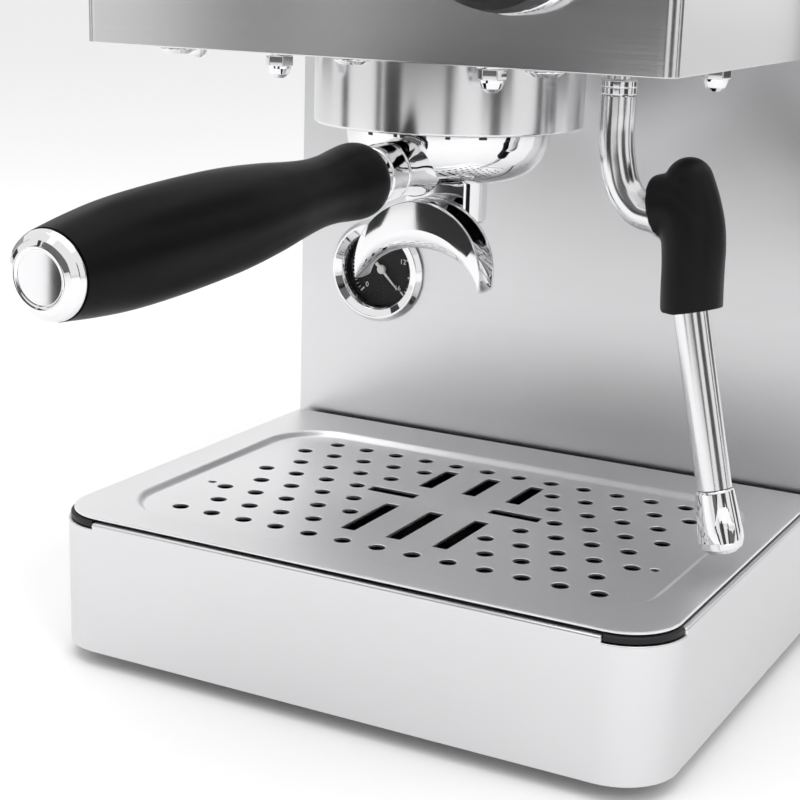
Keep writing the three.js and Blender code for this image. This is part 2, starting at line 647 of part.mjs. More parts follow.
// ---- Steam valve and knob ----
add('steam_knob', turnedAlongY([
  [0, -15], [15, -15], [22, -13.5], [24.6, -10], [25.4, -2], [25.4, 3], [0, 3],
], KNOB_X, KNOB_Z, 28), blackPlastic);
add('knob_ring', turnedAlongY([
  [0, 3.3], [25.6, 3.3], [26.2, 4.6], [25.6, 7.4], [0, 7.4],
], KNOB_X, KNOB_Z, 28), chrome);
add('valve_spindle', discAlongY(4, 7.7, 42, KNOB_X, KNOB_Z, 20), brass);
add('steam_valve_body', cut(
  joined(
    discAlongY(10, 22, 84, KNOB_X, KNOB_Z, 24),
    disc(9, 219, KNOB_Z - 4, WAND_X, WAND_Y, 24),
  ),
  discAlongY(4 + GAP, 20, 43, KNOB_X, KNOB_Z, 20),
  disc(NECK_TUBE_RADIUS + GAP + 0.2, 218, 232, WAND_X, WAND_Y, 20),
), brass);

// ---- Switches and lamp on the head front ----
const FRAME_HALF = (3 * SWITCH_PITCH) / 2;
const ROCKER_HALF = 10.5;
const ROCKER_PIVOT_Y = HEAD_FRONT + 6;
const switchNames = ['power', 'brew', 'steam'];
const switchX = (i) => SWITCH_MIDDLE_X + (i - 1) * SWITCH_PITCH;
function switchFrame() {
  let frame = block(
    SWITCH_MIDDLE_X - FRAME_HALF, SWITCH_MIDDLE_X + FRAME_HALF,
    HEAD_FRONT - 2.3, HEAD_FRONT - GAP,
    SWITCH_Z - 16, SWITCH_Z + 16,
  );
  switchNames.forEach((_, i) => {
    const x = switchX(i);
    const half = ROCKER_HALF + 0.6;
    frame = frame.subtract(block(x - half, x + half, 0, 20, SWITCH_Z - 12.6, SWITCH_Z + 12.6));
  });
  return frame;
}
add('switch_frame', switchFrame(), blackPlastic);

switchNames.forEach((name, i) => {
  const profile = new THREE.Shape();
  profile.moveTo(-9, -10.6);
  profile.lineTo(-9.6, -9.8);
  profile.lineTo(-8, 0);
  profile.lineTo(-9.6, 9.8);
  profile.lineTo(-9, 10.6);
  profile.lineTo(2, 7);
  profile.lineTo(2, -7);
  const geometry = new THREE.ExtrudeGeometry(profile, { depth: 2 * ROCKER_HALF, bevelEnabled: false });
  geometry.translate(0, 0, -ROCKER_HALF);
  geometry.applyMatrix4(new THREE.Matrix4().makeBasis(
    new THREE.Vector3(0, 1, 0), new THREE.Vector3(0, 0, 1), new THREE.Vector3(1, 0, 0)));
  const rocker = add(`${name}_switch`, solid(geometry), blackPlastic);
  rocker.position.set(switchX(i), ROCKER_PIVOT_Y, SWITCH_Z);
  rocker.rotation.x = SWITCH_TILT;
});
add('power_lamp', turnedAlongY([
  [0, 5.6], [3.4, 6.4], [5.4, 8.2], [5.4, HEAD_FRONT - GAP], [4.2, HEAD_FRONT - GAP], [4.2, 18], [0, 18],
], 8, SWITCH_Z, 24), amber);

// ---- Water and steam circuit inside ----
const BOILER_RADIUS = 36;
const BOILER_LOW = 227.4;
const BOILER_TOP = 300;
add('boiler', turned([
  [0, BOILER_LOW], [BOILER_RADIUS, BOILER_LOW], [BOILER_RADIUS, BOILER_TOP - 5],
  [BOILER_RADIUS - 5, BOILER_TOP], [0, BOILER_TOP],
], 0, GROUP_Y), brass);
add('heating_element', joined(
  disc(12, BOILER_TOP + GAP, BOILER_TOP + 6, 0, GROUP_Y, 24),
  disc(3, BOILER_TOP + 5, BOILER_TOP + 18, -6, GROUP_Y, 12),
  disc(3, BOILER_TOP + 5, BOILER_TOP + 18, 6, GROUP_Y, 12),
), steel);
for (const [name, dx] of [['brew_thermostat', -22], ['steam_thermostat', 22]]) {
  add(name, disc(7, BOILER_TOP + GAP, BOILER_TOP + 10, dx, GROUP_Y, 20), blackPlastic);
}
add('solenoid_valve', joined(
  block(-78, -52, 63, 89, 232, 268),
  disc(9, 226, 233, -65, GROUP_Y, 20),
  disc(6, 267, 276, -65, GROUP_Y, 20),
), blackPlastic);

const PUMP_Y = 215;
const PUMP_Z = 44;
function pump() {
  const geometry = new THREE.LatheGeometry([
    [0, -60], [5, -60], [5, -44], [14, -42], [14, -28], [24, -26], [24, 24], [14, 26], [14, 40], [6, 42],
    [6, 56], [0, 56],
  ].map(([r, x]) => new THREE.Vector2(r, x)), 28);
  geometry.rotateZ(-Math.PI / 2);
  geometry.translate(-10, PUMP_Y, PUMP_Z);
  return solid(geometry);
}
add('pump', pump(), blackPlastic);

// The feed pipe climbs from the pump's outlet and meets the boiler wall at 45 degrees.
const FEED_X = -84;
const FEED_Z = 250;
const feedReach = (BOILER_RADIUS + 0.5) * Math.SQRT1_2;
add('feed_pipe', tube([
  [-70.6, PUMP_Y, PUMP_Z], [-75, PUMP_Y, PUMP_Z], [-82, PUMP_Y, PUMP_Z + 7],
  [FEED_X, PUMP_Y, 70], [FEED_X, PUMP_Y, 150], [FEED_X, PUMP_Y, 228],
  [-78, 200, 246], [-60, 160, FEED_Z], [-45, 121, FEED_Z],
  [-feedReach, GROUP_Y + feedReach, FEED_Z],
], 2.5, 26, 6), brass);
add('steam_pipe', tube([
  [BOILER_RADIUS + 0.6, GROUP_Y, 285], [44, GROUP_Y + 1, 285], [53, 86, 281], [57, 97, 271], [57, 94, 261],
  [KNOB_X, 85.2, KNOB_Z],
], 2.5, 14, 6), brass);
add('suction_hose', tube([
  [46.6, PUMP_Y, PUMP_Z], [54, PUMP_Y + 1, PUMP_Z], [66, 235, 36], [64, 275, 28], [VALVE_X, 306, 26],
  [VALVE_X, VALVE_Y, 33], [VALVE_X, VALVE_Y, SHELF_TOP - 18.4],
], 4, 16, 8), hoseWhite);

add('control_board', joined(
  block(-10, 90, 182, 184, 100, 190),
  block(0, 22, 183, 200, 110, 132),
  block(40, 58, 183, 196, 150, 180),
), boardGreen);

// ---- Mains inlet on the back: a three-blade recess in a flange ----
function powerInlet() {
  const back = CABINET_BACK + GAP;
  const shell = joined(
    block(INLET_X - 16, INLET_X + 16, back, CABINET_BACK + INLET_FLANGE, INLET_Z - 12.5, INLET_Z + 12.5),
    block(INLET_X - 13.5, INLET_X + 13.5, CABINET_BACK - 22, back + 0.5, INLET_Z - 10, INLET_Z + 10),
  );
  const floor = CABINET_BACK - 18;
  const recess = block(INLET_X - 12, INLET_X + 12, floor, CABINET_BACK + 5, INLET_Z - 8, INLET_Z + 8);
  const blade = (dx, dz) => {
    const x = INLET_X + dx;
    const z = INLET_Z + dz;
    return block(x - 1, x + 1, floor - 0.5, CABINET_BACK - 3, z - 2, z + 2);
  };
  return joined(cut(shell, recess), blade(-7, -2), blade(0, 2), blade(7, -2));
}
add('power_inlet', powerInlet(), blackPlastic);

// The origin goes under the middle of the overall box, from the end cap to the inlet's flange.
const FRONT_REACH = HANDLE_REAR_Y - (GRIP_LENGTH + CAP_LENGTH) * Math.cos(HANDLE_DROOP);
machine.position.y = -(FRONT_REACH + CABINET_BACK + INLET_FLANGE) / 2;

const espressoMachine = new THREE.Group();
espressoMachine.add(machine);

export default espressoMachine;
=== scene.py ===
# Looks for the espresso machine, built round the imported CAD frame.
import math

import bmesh
import bpy
from mathutils import Matrix, Vector


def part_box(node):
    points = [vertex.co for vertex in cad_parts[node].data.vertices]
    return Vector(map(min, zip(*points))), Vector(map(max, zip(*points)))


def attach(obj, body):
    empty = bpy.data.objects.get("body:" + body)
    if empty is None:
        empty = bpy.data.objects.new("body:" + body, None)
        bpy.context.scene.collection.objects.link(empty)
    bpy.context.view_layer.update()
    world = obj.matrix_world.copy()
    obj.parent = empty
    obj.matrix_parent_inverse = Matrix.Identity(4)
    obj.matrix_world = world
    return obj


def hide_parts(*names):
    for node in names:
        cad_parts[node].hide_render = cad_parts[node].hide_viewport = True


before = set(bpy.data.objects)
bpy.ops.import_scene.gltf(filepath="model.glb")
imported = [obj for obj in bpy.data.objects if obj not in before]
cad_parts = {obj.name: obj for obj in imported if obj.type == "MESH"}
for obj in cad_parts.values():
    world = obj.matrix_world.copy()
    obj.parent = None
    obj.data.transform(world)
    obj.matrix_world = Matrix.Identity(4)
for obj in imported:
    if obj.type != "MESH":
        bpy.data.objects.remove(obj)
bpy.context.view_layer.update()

# ---- Places, in the machine's own measure: millimetres from the middle plane, the front of the
# ---- tray and the counter. at() turns them into the frame's metres.
MM = 0.001
TRAY_LOW, TRAY_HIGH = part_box("tray_housing")
ORIGIN = Vector((0, TRAY_LOW.y, 0))


def at(x, y, z):
    return ORIGIN + Vector((x, y, z)) * MM


def reach(node):
    """A node's lowest and highest corners in the machine's own millimetres."""
    low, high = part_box(node)
    return (low - ORIGIN) / MM, (high - ORIGIN) / MM


def middle(node):
    low, high = reach(node)
    return (low + high) / 2


HALF = reach("tray_housing")[1].x
HEAD_HALF = reach("head_shell")[1].x
HEAD_FRONT = reach("head_shell")[0].y
HEAD_BOTTOM = reach("head_shell")[0].z
CABINET_BACK = reach("body_shell")[1].y
CABINET_FRONT = reach("body_shell")[0].y
SHELL_TOP = reach("body_shell")[1].z
TOP = reach("cup_tray")[1].z
SPLASH_Y = reach("splash_panel")[0].y
SHEET = 1.5
HEAD_CORNER = 5.0
GROUP = middle("group_bell")
WAND = middle("wand_collar")
KNOB = middle("knob_ring")
GAUGE = middle("gauge_bezel")


# ---- Materials ----
def material(name):
    made = bpy.data.materials.new(name)
    made.use_nodes = True
    tree = made.node_tree
    shader = tree.nodes["Principled BSDF"]
    return made, tree, shader


def texture_place(tree, scale):
    coordinate = tree.nodes.new("ShaderNodeTexCoord")
    mapping = tree.nodes.new("ShaderNodeMapping")
    mapping.inputs["Scale"].default_value = scale
    tree.links.new(coordinate.outputs["Object"], mapping.inputs["Vector"])
    return mapping.outputs["Vector"]


def noise(tree, vector, scale, detail=4.0, roughness=0.6):
    node = tree.nodes.new("ShaderNodeTexNoise")
    node.inputs["Scale"].default_value = scale
    node.inputs["Detail"].default_value = detail
    node.inputs["Roughness"].default_value = roughness
    tree.links.new(vector, node.inputs["Vector"])
    return node.outputs["Fac"]


def span_of(tree, value, low, high):
    node = tree.nodes.new("ShaderNodeMapRange")
    node.inputs["To Min"].default_value = low
    node.inputs["To Max"].default_value = high
    tree.links.new(value, node.inputs["Value"])
    return node.outputs["Result"]


def tint(tree, value, low, high):
    node = tree.nodes.new("ShaderNodeMix")
    node.data_type = "RGBA"
    node.inputs["A"].default_value = (*low, 1)
    node.inputs["B"].default_value = (*high, 1)
    tree.links.new(value, node.inputs["Factor"])
    return node.outputs["Result"]


def bump(tree, shader, height, strength, distance):
    node = tree.nodes.new("ShaderNodeBump")
    node.inputs["Strength"].default_value = strength
    node.inputs["Distance"].default_value = distance
    tree.links.new(height, node.inputs["Height"])
    tree.links.new(node.outputs["Normal"], shader.inputs["Normal"])


def brushed_steel(name, grain, color=(0.72, 0.72, 0.73), rough=(0.26, 0.36)):
    """Satin stainless sheet; grain is the texture scale, small along the brushing."""
    made, tree, shader = material(name)
    shader.inputs["Metallic"].default_value = 1.0
    shader.inputs["Anisotropic"].default_value = 0.35
    lines = noise(tree, texture_place(tree, grain), 1.0, 6.0, 0.7)
    cloud = noise(tree, texture_place(tree, (9, 9, 9)), 1.0, 2.0)
    tree.links.new(span_of(tree, lines, *rough), shader.inputs["Roughness"])
    dark = tuple(c * 0.94 for c in color)
    tree.links.new(tint(tree, cloud, dark, color), shader.inputs["Base Color"])
    bump(tree, shader, lines, 0.05, 0.0002)
    return made


def chrome_finish(name, color=(0.80, 0.80, 0.81), rough=(0.02, 0.07)):
    made, tree, shader = material(name)
    shader.inputs["Metallic"].default_value = 1.0
    smear = noise(tree, texture_place(tree, (60, 60, 60)), 1.0, 3.0)
    tree.links.new(span_of(tree, smear, *rough), shader.inputs["Roughness"])
    dark = tuple(c * 0.97 for c in color)
    tree.links.new(tint(tree, smear, dark, color), shader.inputs["Base Color"])
    return made


def moulded(name, low, high, rough, grain=900.0, strength=0.12, coat=0.0, spec=0.25):
    made, tree, shader = material(name)
    speck = noise(tree, texture_place(tree, (1, 1, 1)), grain, 3.0)
    patch = noise(tree, texture_place(tree, (1, 1, 1)), 30.0, 2.0)
    tree.links.new(tint(tree, patch, low, high), shader.inputs["Base Color"])
    tree.links.new(span_of(tree, patch, *rough), shader.inputs["Roughness"])
    shader.inputs["Specular IOR Level"].default_value = spec
    shader.inputs["Coat Weight"].default_value = coat
    shader.inputs["Coat Roughness"].default_value = 0.25
    bump(tree, shader, speck, strength, 0.0002)
    return made


def see_through(name, color, rough, ior, transmission=1.0):
    made, tree, shader = material(name)
    shader.inputs["Transmission Weight"].default_value = transmission
    shader.inputs["IOR"].default_value = ior
    haze = noise(tree, texture_place(tree, (40, 40, 40)), 1.0, 2.0)
    tree.links.new(span_of(tree, haze, *rough), shader.inputs["Roughness"])
    shader.inputs["Base Color"].default_value = (*color, 1)
    return made


GRAIN_X = (3, 900, 900)
steel_x = brushed_steel("steel_grain_across", GRAIN_X)
steel_head = brushed_steel("steel_head", GRAIN_X, rough=(0.15, 0.21))
steel_plate = brushed_steel("steel_satin_plate", (120, 120, 120), (0.92, 0.92, 0.93), (0.38, 0.46))
steel_dull = brushed_steel("steel_inside", (60, 60, 60), (0.62, 0.62, 0.63), (0.35, 0.5))
chrome = chrome_finish("polished_chrome")
chrome_satin = chrome_finish("chrome_satin", (0.76, 0.76, 0.77), (0.12, 0.2))
black_grip = moulded("grip_black", (0.003, 0.003, 0.003), (0.005, 0.005, 0.005), (0.3, 0.38), 700, 0.04,
                     spec=0.07)
black_plastic = moulded("plastic_black", (0.008, 0.008, 0.008), (0.016, 0.016, 0.016), (0.4, 0.52))
rubber = moulded("rubber_black", (0.004, 0.004, 0.004), (0.007, 0.007, 0.007), (0.36, 0.46), 1200, 0.1,
                 spec=0.14)
brass = chrome_finish("brass", (0.72, 0.56, 0.27), (0.18, 0.3))
dial_black = moulded("dial_black", (0.006, 0.006, 0.006), (0.01, 0.01, 0.01), (0.5, 0.6), 400, 0.02)
print_white = moulded("print_white", (0.85, 0.85, 0.83), (0.9, 0.9, 0.88), (0.45, 0.5), 400, 0.02)
glass = see_through("gauge_glass_clear", (1, 1, 1), (0.0, 0.01), 1.12)
tank_plastic = see_through("tank_smoky", (0.62, 0.67, 0.70), (0.12, 0.2), 1.45, 0.85)
amber = moulded("lens_amber", (0.75, 0.28, 0.03), (0.85, 0.36, 0.05), (0.1, 0.16), 300, 0.02, 0.6)
board_green = moulded("board_green", (0.02, 0.14, 0.07), (0.03, 0.2, 0.1), (0.35, 0.45))
hose_white = moulded("hose_white", (0.72, 0.71, 0.68), (0.8, 0.79, 0.76), (0.4, 0.5))


# ---- Mesh helpers ----
def linked(name, data):
    """A new object in the scene that holds the data."""
    holder = bpy.data.objects.new(name, data)
    bpy.context.scene.collection.objects.link(holder)
    return holder


def loose(name, mesh_data):
    """A mesh object from a bmesh in the frame's metres; it rides on nothing yet."""
    bmesh.ops.remove_doubles(mesh_data, verts=mesh_data.verts, dist=1e-7)
    bmesh.ops.recalc_face_normals(mesh_data, faces=mesh_data.faces)
    mesh = bpy.data.meshes.new(name)
    mesh_data.to_mesh(mesh)
    mesh_data.free()
    return linked(name, mesh)


def finish_piece(piece, body, look, nodes=(), crease=30.0):
    """Gives a piece its material, shading and body, and hides the CAD nodes it stands for."""
    piece.data.materials.clear()
    piece.data.materials.append(look)
    piece.data.shade_smooth()
    piece.data.set_sharp_from_angle(angle=math.radians(crease))
    even = piece.modifiers.new("weighted normals", "WEIGHTED_NORMAL")
    even.keep_sharp = True
    even.weight = 90
    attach(piece, body)
    if nodes:
        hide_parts(*nodes)
    return piece


def finish_mesh(name, mesh_data, body, look, nodes=(), crease=30.0):
    return finish_piece(loose(name, mesh_data), body, look, nodes, crease)


def baked(piece):
    """Applies the piece's modifiers."""
    graph = bpy.context.evaluated_depsgraph_get()
    mesh = bpy.data.meshes.new_from_object(piece.evaluated_get(graph))
    piece.modifiers.clear()
    piece.data = mesh
    return piece


def meshed(holder):
    """Turns a curve or text object into a mesh object of the same name."""
    name = holder.name
    bpy.context.view_layer.update()
    graph = bpy.context.evaluated_depsgraph_get()
    mesh = bpy.data.meshes.new_from_object(holder.evaluated_get(graph))
    mesh.transform(holder.matrix_world)
    bpy.data.objects.remove(holder)
    return linked(name, mesh)


def boolean(piece, tool, operation="DIFFERENCE"):
    """Cuts or joins the tool's mesh and removes the tool."""
    modifier = piece.modifiers.new("boolean", "BOOLEAN")
    modifier.operation = operation
    modifier.solver = "EXACT"
    modifier.object = tool
    baked(piece)
    bpy.data.objects.remove(tool)
    return piece


def soft_edges(piece, width, segments=3, angle=35.0):
    modifier = piece.modifiers.new("bevel", "BEVEL")
    modifier.width = width * MM
    modifier.segments = segments
    modifier.limit_method = "ANGLE"
    modifier.angle_limit = math.radians(angle)
    return baked(piece)


def rounded(points, radius, steps=4):
    """A profile with an arc of about that radius at each inner corner."""
    out = [Vector(points[0])]
    for before, corner, after in zip(points, points[1:], points[2:]):
        before, corner, after = Vector(before), Vector(corner), Vector(after)
        back = before - corner
        ahead = after - corner
        reach_back, reach_ahead = back.length, ahead.length
        back.normalize()
        ahead.normalize()
        angle = back.angle(ahead)
        if angle > math.radians(172) or angle < math.radians(4):
            out.append(corner)
            continue
        arc = min(radius, 0.45 * min(reach_back, reach_ahead) * math.tan(angle / 2))
        away = arc / math.tan(angle / 2)
        centre = corner + (back + ahead).normalized() * (arc / math.sin(angle / 2))
        start = corner + back * away - centre
        end = corner + ahead * away - centre
        turn = start.angle(end)
        for i in range(steps + 1):
            f = i / steps
            spoke = start * math.sin((1 - f) * turn) + end * math.sin(f * turn)
            out.append(centre + spoke / math.sin(turn))
    out.append(Vector(points[-1]))
    return out


def rounded_loop(points, radius):
    """As rounded, for a profile that closes on its first point and so makes a ring."""
    profile = rounded(points + points[:1], radius)
    profile[-1] = profile[0]
    return profile


def ring_faces(mesh_data, first, second):
    """Faces between two rings of vertices; a ring of one vertex is a tip."""
    if len(first) == 1 and len(second) == 1:
        return
    count = max(len(first), len(second))
    for i in range(count):
        j = (i + 1) % count
        if len(first) == 1:
            mesh_data.faces.new((first[0], second[j], second[i]))
        elif len(second) == 1:
            mesh_data.faces.new((first[i], first[j], second[0]))
        else:
            mesh_data.faces.new((first[i], first[j], second[j], second[i]))


def bridge(mesh_data, first, second):
    """A solid between two outlines of vertices."""
    ring_faces(mesh_data, first, second)
    mesh_data.faces.new(first)
    mesh_data.faces.new(second)


def lathe(profile, place, segments=96, mesh_data=None):
    """A round body; the profile is [radius, height] and place is its frame, in millimetres."""
    mesh_data = mesh_data or bmesh.new()
    closed = (Vector(profile[0]) - Vector(profile[-1])).length < 1e-6
    rings = []
    for radius, height in (profile[:-1] if closed else profile):
        if radius < 1e-6:
            rings.append([mesh_data.verts.new(place @ Vector((0, 0, height)))])
            continue
        ring = []
        for i in range(segments):
            turn = 2 * math.pi * i / segments
            spot = Vector((radius * math.cos(turn), radius * math.sin(turn), height))
            ring.append(mesh_data.verts.new(place @ spot))
        rings.append(ring)
    for first, second in zip(rings, rings[1:]):
        ring_faces(mesh_data, first, second)
    if closed:
        ring_faces(mesh_data, rings[-1], rings[0])
    return mesh_data


def upright(x, y, z=0.0):
    """A frame whose Z is up, with its origin at a place in millimetres."""
    return Matrix.Translation(at(x, y, z)) @ Matrix.Scale(MM, 4)


def facing_front(x, y, z):
    """A frame whose Z points to the front of the machine."""
    turn = Matrix.Rotation(math.pi / 2, 4, "X")
    return Matrix.Translation(at(x, y, z)) @ turn @ Matrix.Scale(MM, 4)


def along(start, direction):
    """A frame whose Z points along a direction, with its origin at start in millimetres."""
    turn = Vector((0, 0, 1)).rotation_difference(direction.normalized()).to_matrix().to_4x4()
    return Matrix.Translation(at(*start)) @ turn @ Matrix.Scale(MM, 4)


def corner_arc(cx, cy, radius, start, steps):
    """A quarter turn of an outline; a radius of 0 keeps the points together."""
    out = []
    for i in range(steps + 1):
        turn = start + (math.pi / 2) * i / steps
        out.append((cx + radius * math.cos(turn), cy + radius * math.sin(turn)))
    return out


def outline(half, front, back, front_radius, back_radius, steps=12):
    """A rectangle in plan with rounded corners, anticlockwise from the front left."""
    fr = max(front_radius, 0.01)
    br = max(back_radius, 0.01)
    points = corner_arc(-half + fr, front + fr, fr, math.pi, steps)
    points += corner_arc(half - fr, front + fr, fr, 1.5 * math.pi, steps)
    points += corner_arc(half - br, back - br, br, 0, steps)
    points += corner_arc(-half + br, back - br, br, 0.5 * math.pi, steps)
    return points


def ring_of(mesh_data, points, z):
    return [mesh_data.verts.new(at(x, y, z)) for x, y in points]


def stack(layers, cap_first=True, cap_last=True, mesh_data=None):
    """A body lofted through outlines with the same number of points: [(points, z), ...]."""
    mesh_data = mesh_data or bmesh.new()
    rings = [ring_of(mesh_data, points, z) for points, z in layers]
    for first, second in zip(rings, rings[1:]):
        ring_faces(mesh_data, first, second)
    if cap_first:
        mesh_data.faces.new(rings[0])
    if cap_last:
        mesh_data.faces.new(rings[-1])
    return mesh_data


def channel(half, front, back, radius, z0, z1, thick=SHEET, steps=16):
    """A sheet wrapped round the front and both sides, open behind."""
    outer = corner_arc(-half + radius, front + radius, radius, math.pi, steps)
    outer += corner_arc(half - radius, front + radius, radius, 1.5 * math.pi, steps)
    inner_radius = max(radius - thick, 0.3)
    inset = half - thick
    low = front + thick
    inner = corner_arc(-inset + inner_radius, low + inner_radius, inner_radius, math.pi, steps)
    inner += corner_arc(inset - inner_radius, low + inner_radius, inner_radius, 1.5 * math.pi, steps)
    points = [(-half, back)] + outer + [(half, back), (inset, back)] + inner[::-1] + [(-inset, back)]
    return stack([(points, z0), (points, z1)])


def block(x0, x1, y0, y1, z0, z1, mesh_data=None):
    mesh_data = mesh_data or bmesh.new()
    corners = ((x0, y0), (x1, y0), (x1, y1), (x0, y1))
    bridge(mesh_data, ring_of(mesh_data, corners, z0), ring_of(mesh_data, corners, z1))
    return mesh_data


def cut_block(piece, x0, x1, y0, y1, z0, z1):
    boolean(piece, loose("cut", block(x0, x1, y0, y1, z0, z1)))


def drill(piece, place, radius, start, end, sides):
    """Cuts a round hole along the Z of a frame, from start to end in millimetres."""
    tool = lathe([(0, start), (radius, start), (radius, end), (0, end)], place, sides)
    boolean(piece, loose("cut", tool))


def smooth_path(points, steps):
    """Points along a centripetal-like curve through the given points."""
    knots = [Vector(p) for p in points]
    knots = [2 * knots[0] - knots[1]] + knots + [2 * knots[-1] - knots[-2]]
    out = []
    for a, b, c, d in zip(knots, knots[1:], knots[2:], knots[3:]):
        tb = (c - a) * (c - b).length / ((b - a).length + (c - b).length)
        tc = (d - b) * (c - b).length / ((c - b).length + (d - c).length)
        for i in range(steps):
            t = i / steps
            h1 = 2 * t ** 3 - 3 * t ** 2 + 1
            h2 = t ** 3 - 2 * t ** 2 + t
            h3 = -2 * t ** 3 + 3 * t ** 2
            h4 = t ** 3 - t ** 2
            out.append(b * h1 + tb * h2 + c * h3 + tc * h4)
    out.append(knots[-2])
    return out


def sweep(path, radius, sides=32):
    """A round body along a path in millimetres."""
    mesh_data = bmesh.new()
    side = Vector((0, 1, 0))
    rings = []
    for i, spot in enumerate(path):
        ahead = path[min(i + 1, len(path) - 1)] - path[max(i - 1, 0)]
        ahead.normalize()
        side = (side - ahead * side.dot(ahead)).normalized()
        up = ahead.cross(side)
        ring = []
        for k in range(sides):
            turn = 2 * math.pi * k / sides
            spoke = side * radius * math.cos(turn) + up * radius * math.sin(turn)
            ring.append(mesh_data.verts.new(at(*(spot + spoke))))
        rings.append(ring)
    for first, second in zip(rings, rings[1:]):
        ring_faces(mesh_data, first, second)
    mesh_data.faces.new(rings[0])
    mesh_data.faces.new(rings[-1])
    return mesh_data


# ---- Tray drawer ----
WALL_TOP = TRAY_HIGH.z / MM - SHEET
FOLD_TOP = TRAY_HIGH.z / MM + 0.6
FOLD_GAP = 0.3
TRAY_DEPTH = reach("tray_housing")[1].y
CORNER = 20.0
FOLD_DEPTH = 6.0
BASE_LOW = reach("tray_housing")[0].z


def fold_places(gap, outside):
    """The folded edges in plan, along the front and both sides, with a gap round each."""
    corner = HALF - CORNER + gap
    depth = FOLD_DEPTH + gap
    yield -corner, corner, 0.0 - outside, depth
    yield -HALF - outside, -HALF + depth, CORNER - gap, TRAY_DEPTH
    yield HALF - depth, HALF + outside, CORNER - gap, TRAY_DEPTH


def tray_housing():
    wall = loose("tray_housing_steel", channel(HALF, 0, TRAY_DEPTH, CORNER, BASE_LOW, WALL_TOP))
    soft_edges(wall, 0.4, 3, 50)
    for x0, x1, y0, y1 in fold_places(0.0, 0.0):
        strip = loose("fold", block(x0, x1, y0, y1, WALL_TOP - SHEET, FOLD_TOP))
        boolean(wall, soft_edges(strip, 0.9, 4), "UNION")
    return finish_piece(wall, "tray", steel_x, ["tray_housing"])


tray_housing()

PAN_TOP = reach("drip_pan")[1].z
PAN_LOW = reach("drip_pan")[0].z
PAN_RIM_INSET = 0.8
BASIN_INSET = 8.0
BASIN_BACK = 160.0


def drip_pan():
    def rim(inset):
        side = PAN_RIM_INSET + inset
        return outline(HALF - side, side, TRAY_DEPTH - 1, CORNER - side, 0.0, 16)

    def basin(inset):
        side = BASIN_INSET + inset
        return outline(HALF - side, side, BASIN_BACK - inset, 12 - inset, 8 - min(inset, 7.5), 16)

    layers = [(rim(0.2), WALL_TOP + 0.3), (rim(0), WALL_TOP + 0.5), (rim(0), PAN_TOP - 0.4),
              (rim(0.4), PAN_TOP), (basin(2), PAN_TOP), (basin(2.6), PAN_TOP - 8),
              (basin(5), PAN_LOW + 8), (basin(10), PAN_LOW + 2.2)]
    inside = stack(layers, cap_first=False)
    outer = [(rim(0.2), WALL_TOP + 0.3), (basin(0), WALL_TOP + 0.3), (basin(0.4), PAN_LOW + 12),
             (basin(8), PAN_LOW)]
    stack(outer, cap_first=False, mesh_data=inside)
    pan = loose("drip_pan_black", inside)
    for x0, x1, y0, y1 in fold_places(FOLD_GAP, 2):
        cut_block(pan, x0, x1, y0, y1, WALL_TOP - 3, PAN_TOP + 1)
    return finish_piece(pan, "tray", black_plastic, ["drip_pan"])


drip_pan()

PLATE_TOP = reach("drip_grille")[1].z
PLATE_THICK = 1.2
PLATE_DIP = 2.1
RECESS = dict(half=100.0, front=16.0, back=144.5, corner=24.0)
DIP_WIDTH = 3.6
HOLE_PITCH = 13.46
ROW_PITCH = 14.23
FIRST_ROW_Y = 33.4
ROW_COUNT = 8
LONG_ROW = 13
CROSS_ROW = 4
HOLE_RADIUS = 3.15
SLOT_X = 18.0
SLOT_HALF = 3.1
SLOT_SPANS = ((44, 78), (102, 126))
CROSS_SLOT_LENGTH = 17.0
SMALL_HOLE = dict(x=88.0, y=64.0, radius=1.8)


def grille_rows():
    """The round holes' places; the slots take up the middle of the plate."""
    for row in range(ROW_COUNT):
        count = LONG_ROW - row % 2
        for i in range(count):
            x = (i - (count - 1) / 2) * HOLE_PITCH
            slot_zone = 0 < row < ROW_COUNT - 1 and abs(x) < 1.6 * HOLE_PITCH
            cross_slot = row == CROSS_ROW and abs(x) < 2.1 * HOLE_PITCH
            if not slot_zone and not cross_slot:
                yield x, FIRST_ROW_Y + row * ROW_PITCH


def slot_points(x0, x1, y0, y1, radius=0.8):
    """A slot's outline with slightly rounded corners."""
    cx, cy = (x0 + x1) / 2, (y0 + y1) / 2
    half = (x1 - x0) / 2
    points = outline(half, y0, y1, radius, radius, 3)
    return [(x + cx, y) for x, y in points]


def flat_with_holes(name, outer, holes, thickness, z_top, edge=0.25):
    """A plate made as a filled 2D curve, with softened edges round every hole."""
    curve = bpy.data.curves.new(name, "CURVE")
    curve.dimensions = "2D"
    curve.fill_mode = "BOTH"
    curve.extrude = (thickness / 2 - edge) * MM
    curve.bevel_depth = edge * MM
    curve.bevel_resolution = 2
    for points in [outer] + holes:
        spline = curve.splines.new("POLY")
        spline.points.add(len(points) - 1)
        spline.use_cyclic_u = True
        for spot, (x, y) in zip(spline.points, points):
            spot.co = (x * MM, y * MM + ORIGIN.y, 0, 1)
    holder = linked(name, curve)
    holder.location.z = (z_top - thickness / 2) * MM
    return meshed(holder)


def circle_points(x, y, radius, sides=28):
    turns = [2 * math.pi * i / sides for i in range(sides)]
    return [(x + radius * math.cos(turn), y + radius * math.sin(turn)) for turn in turns]


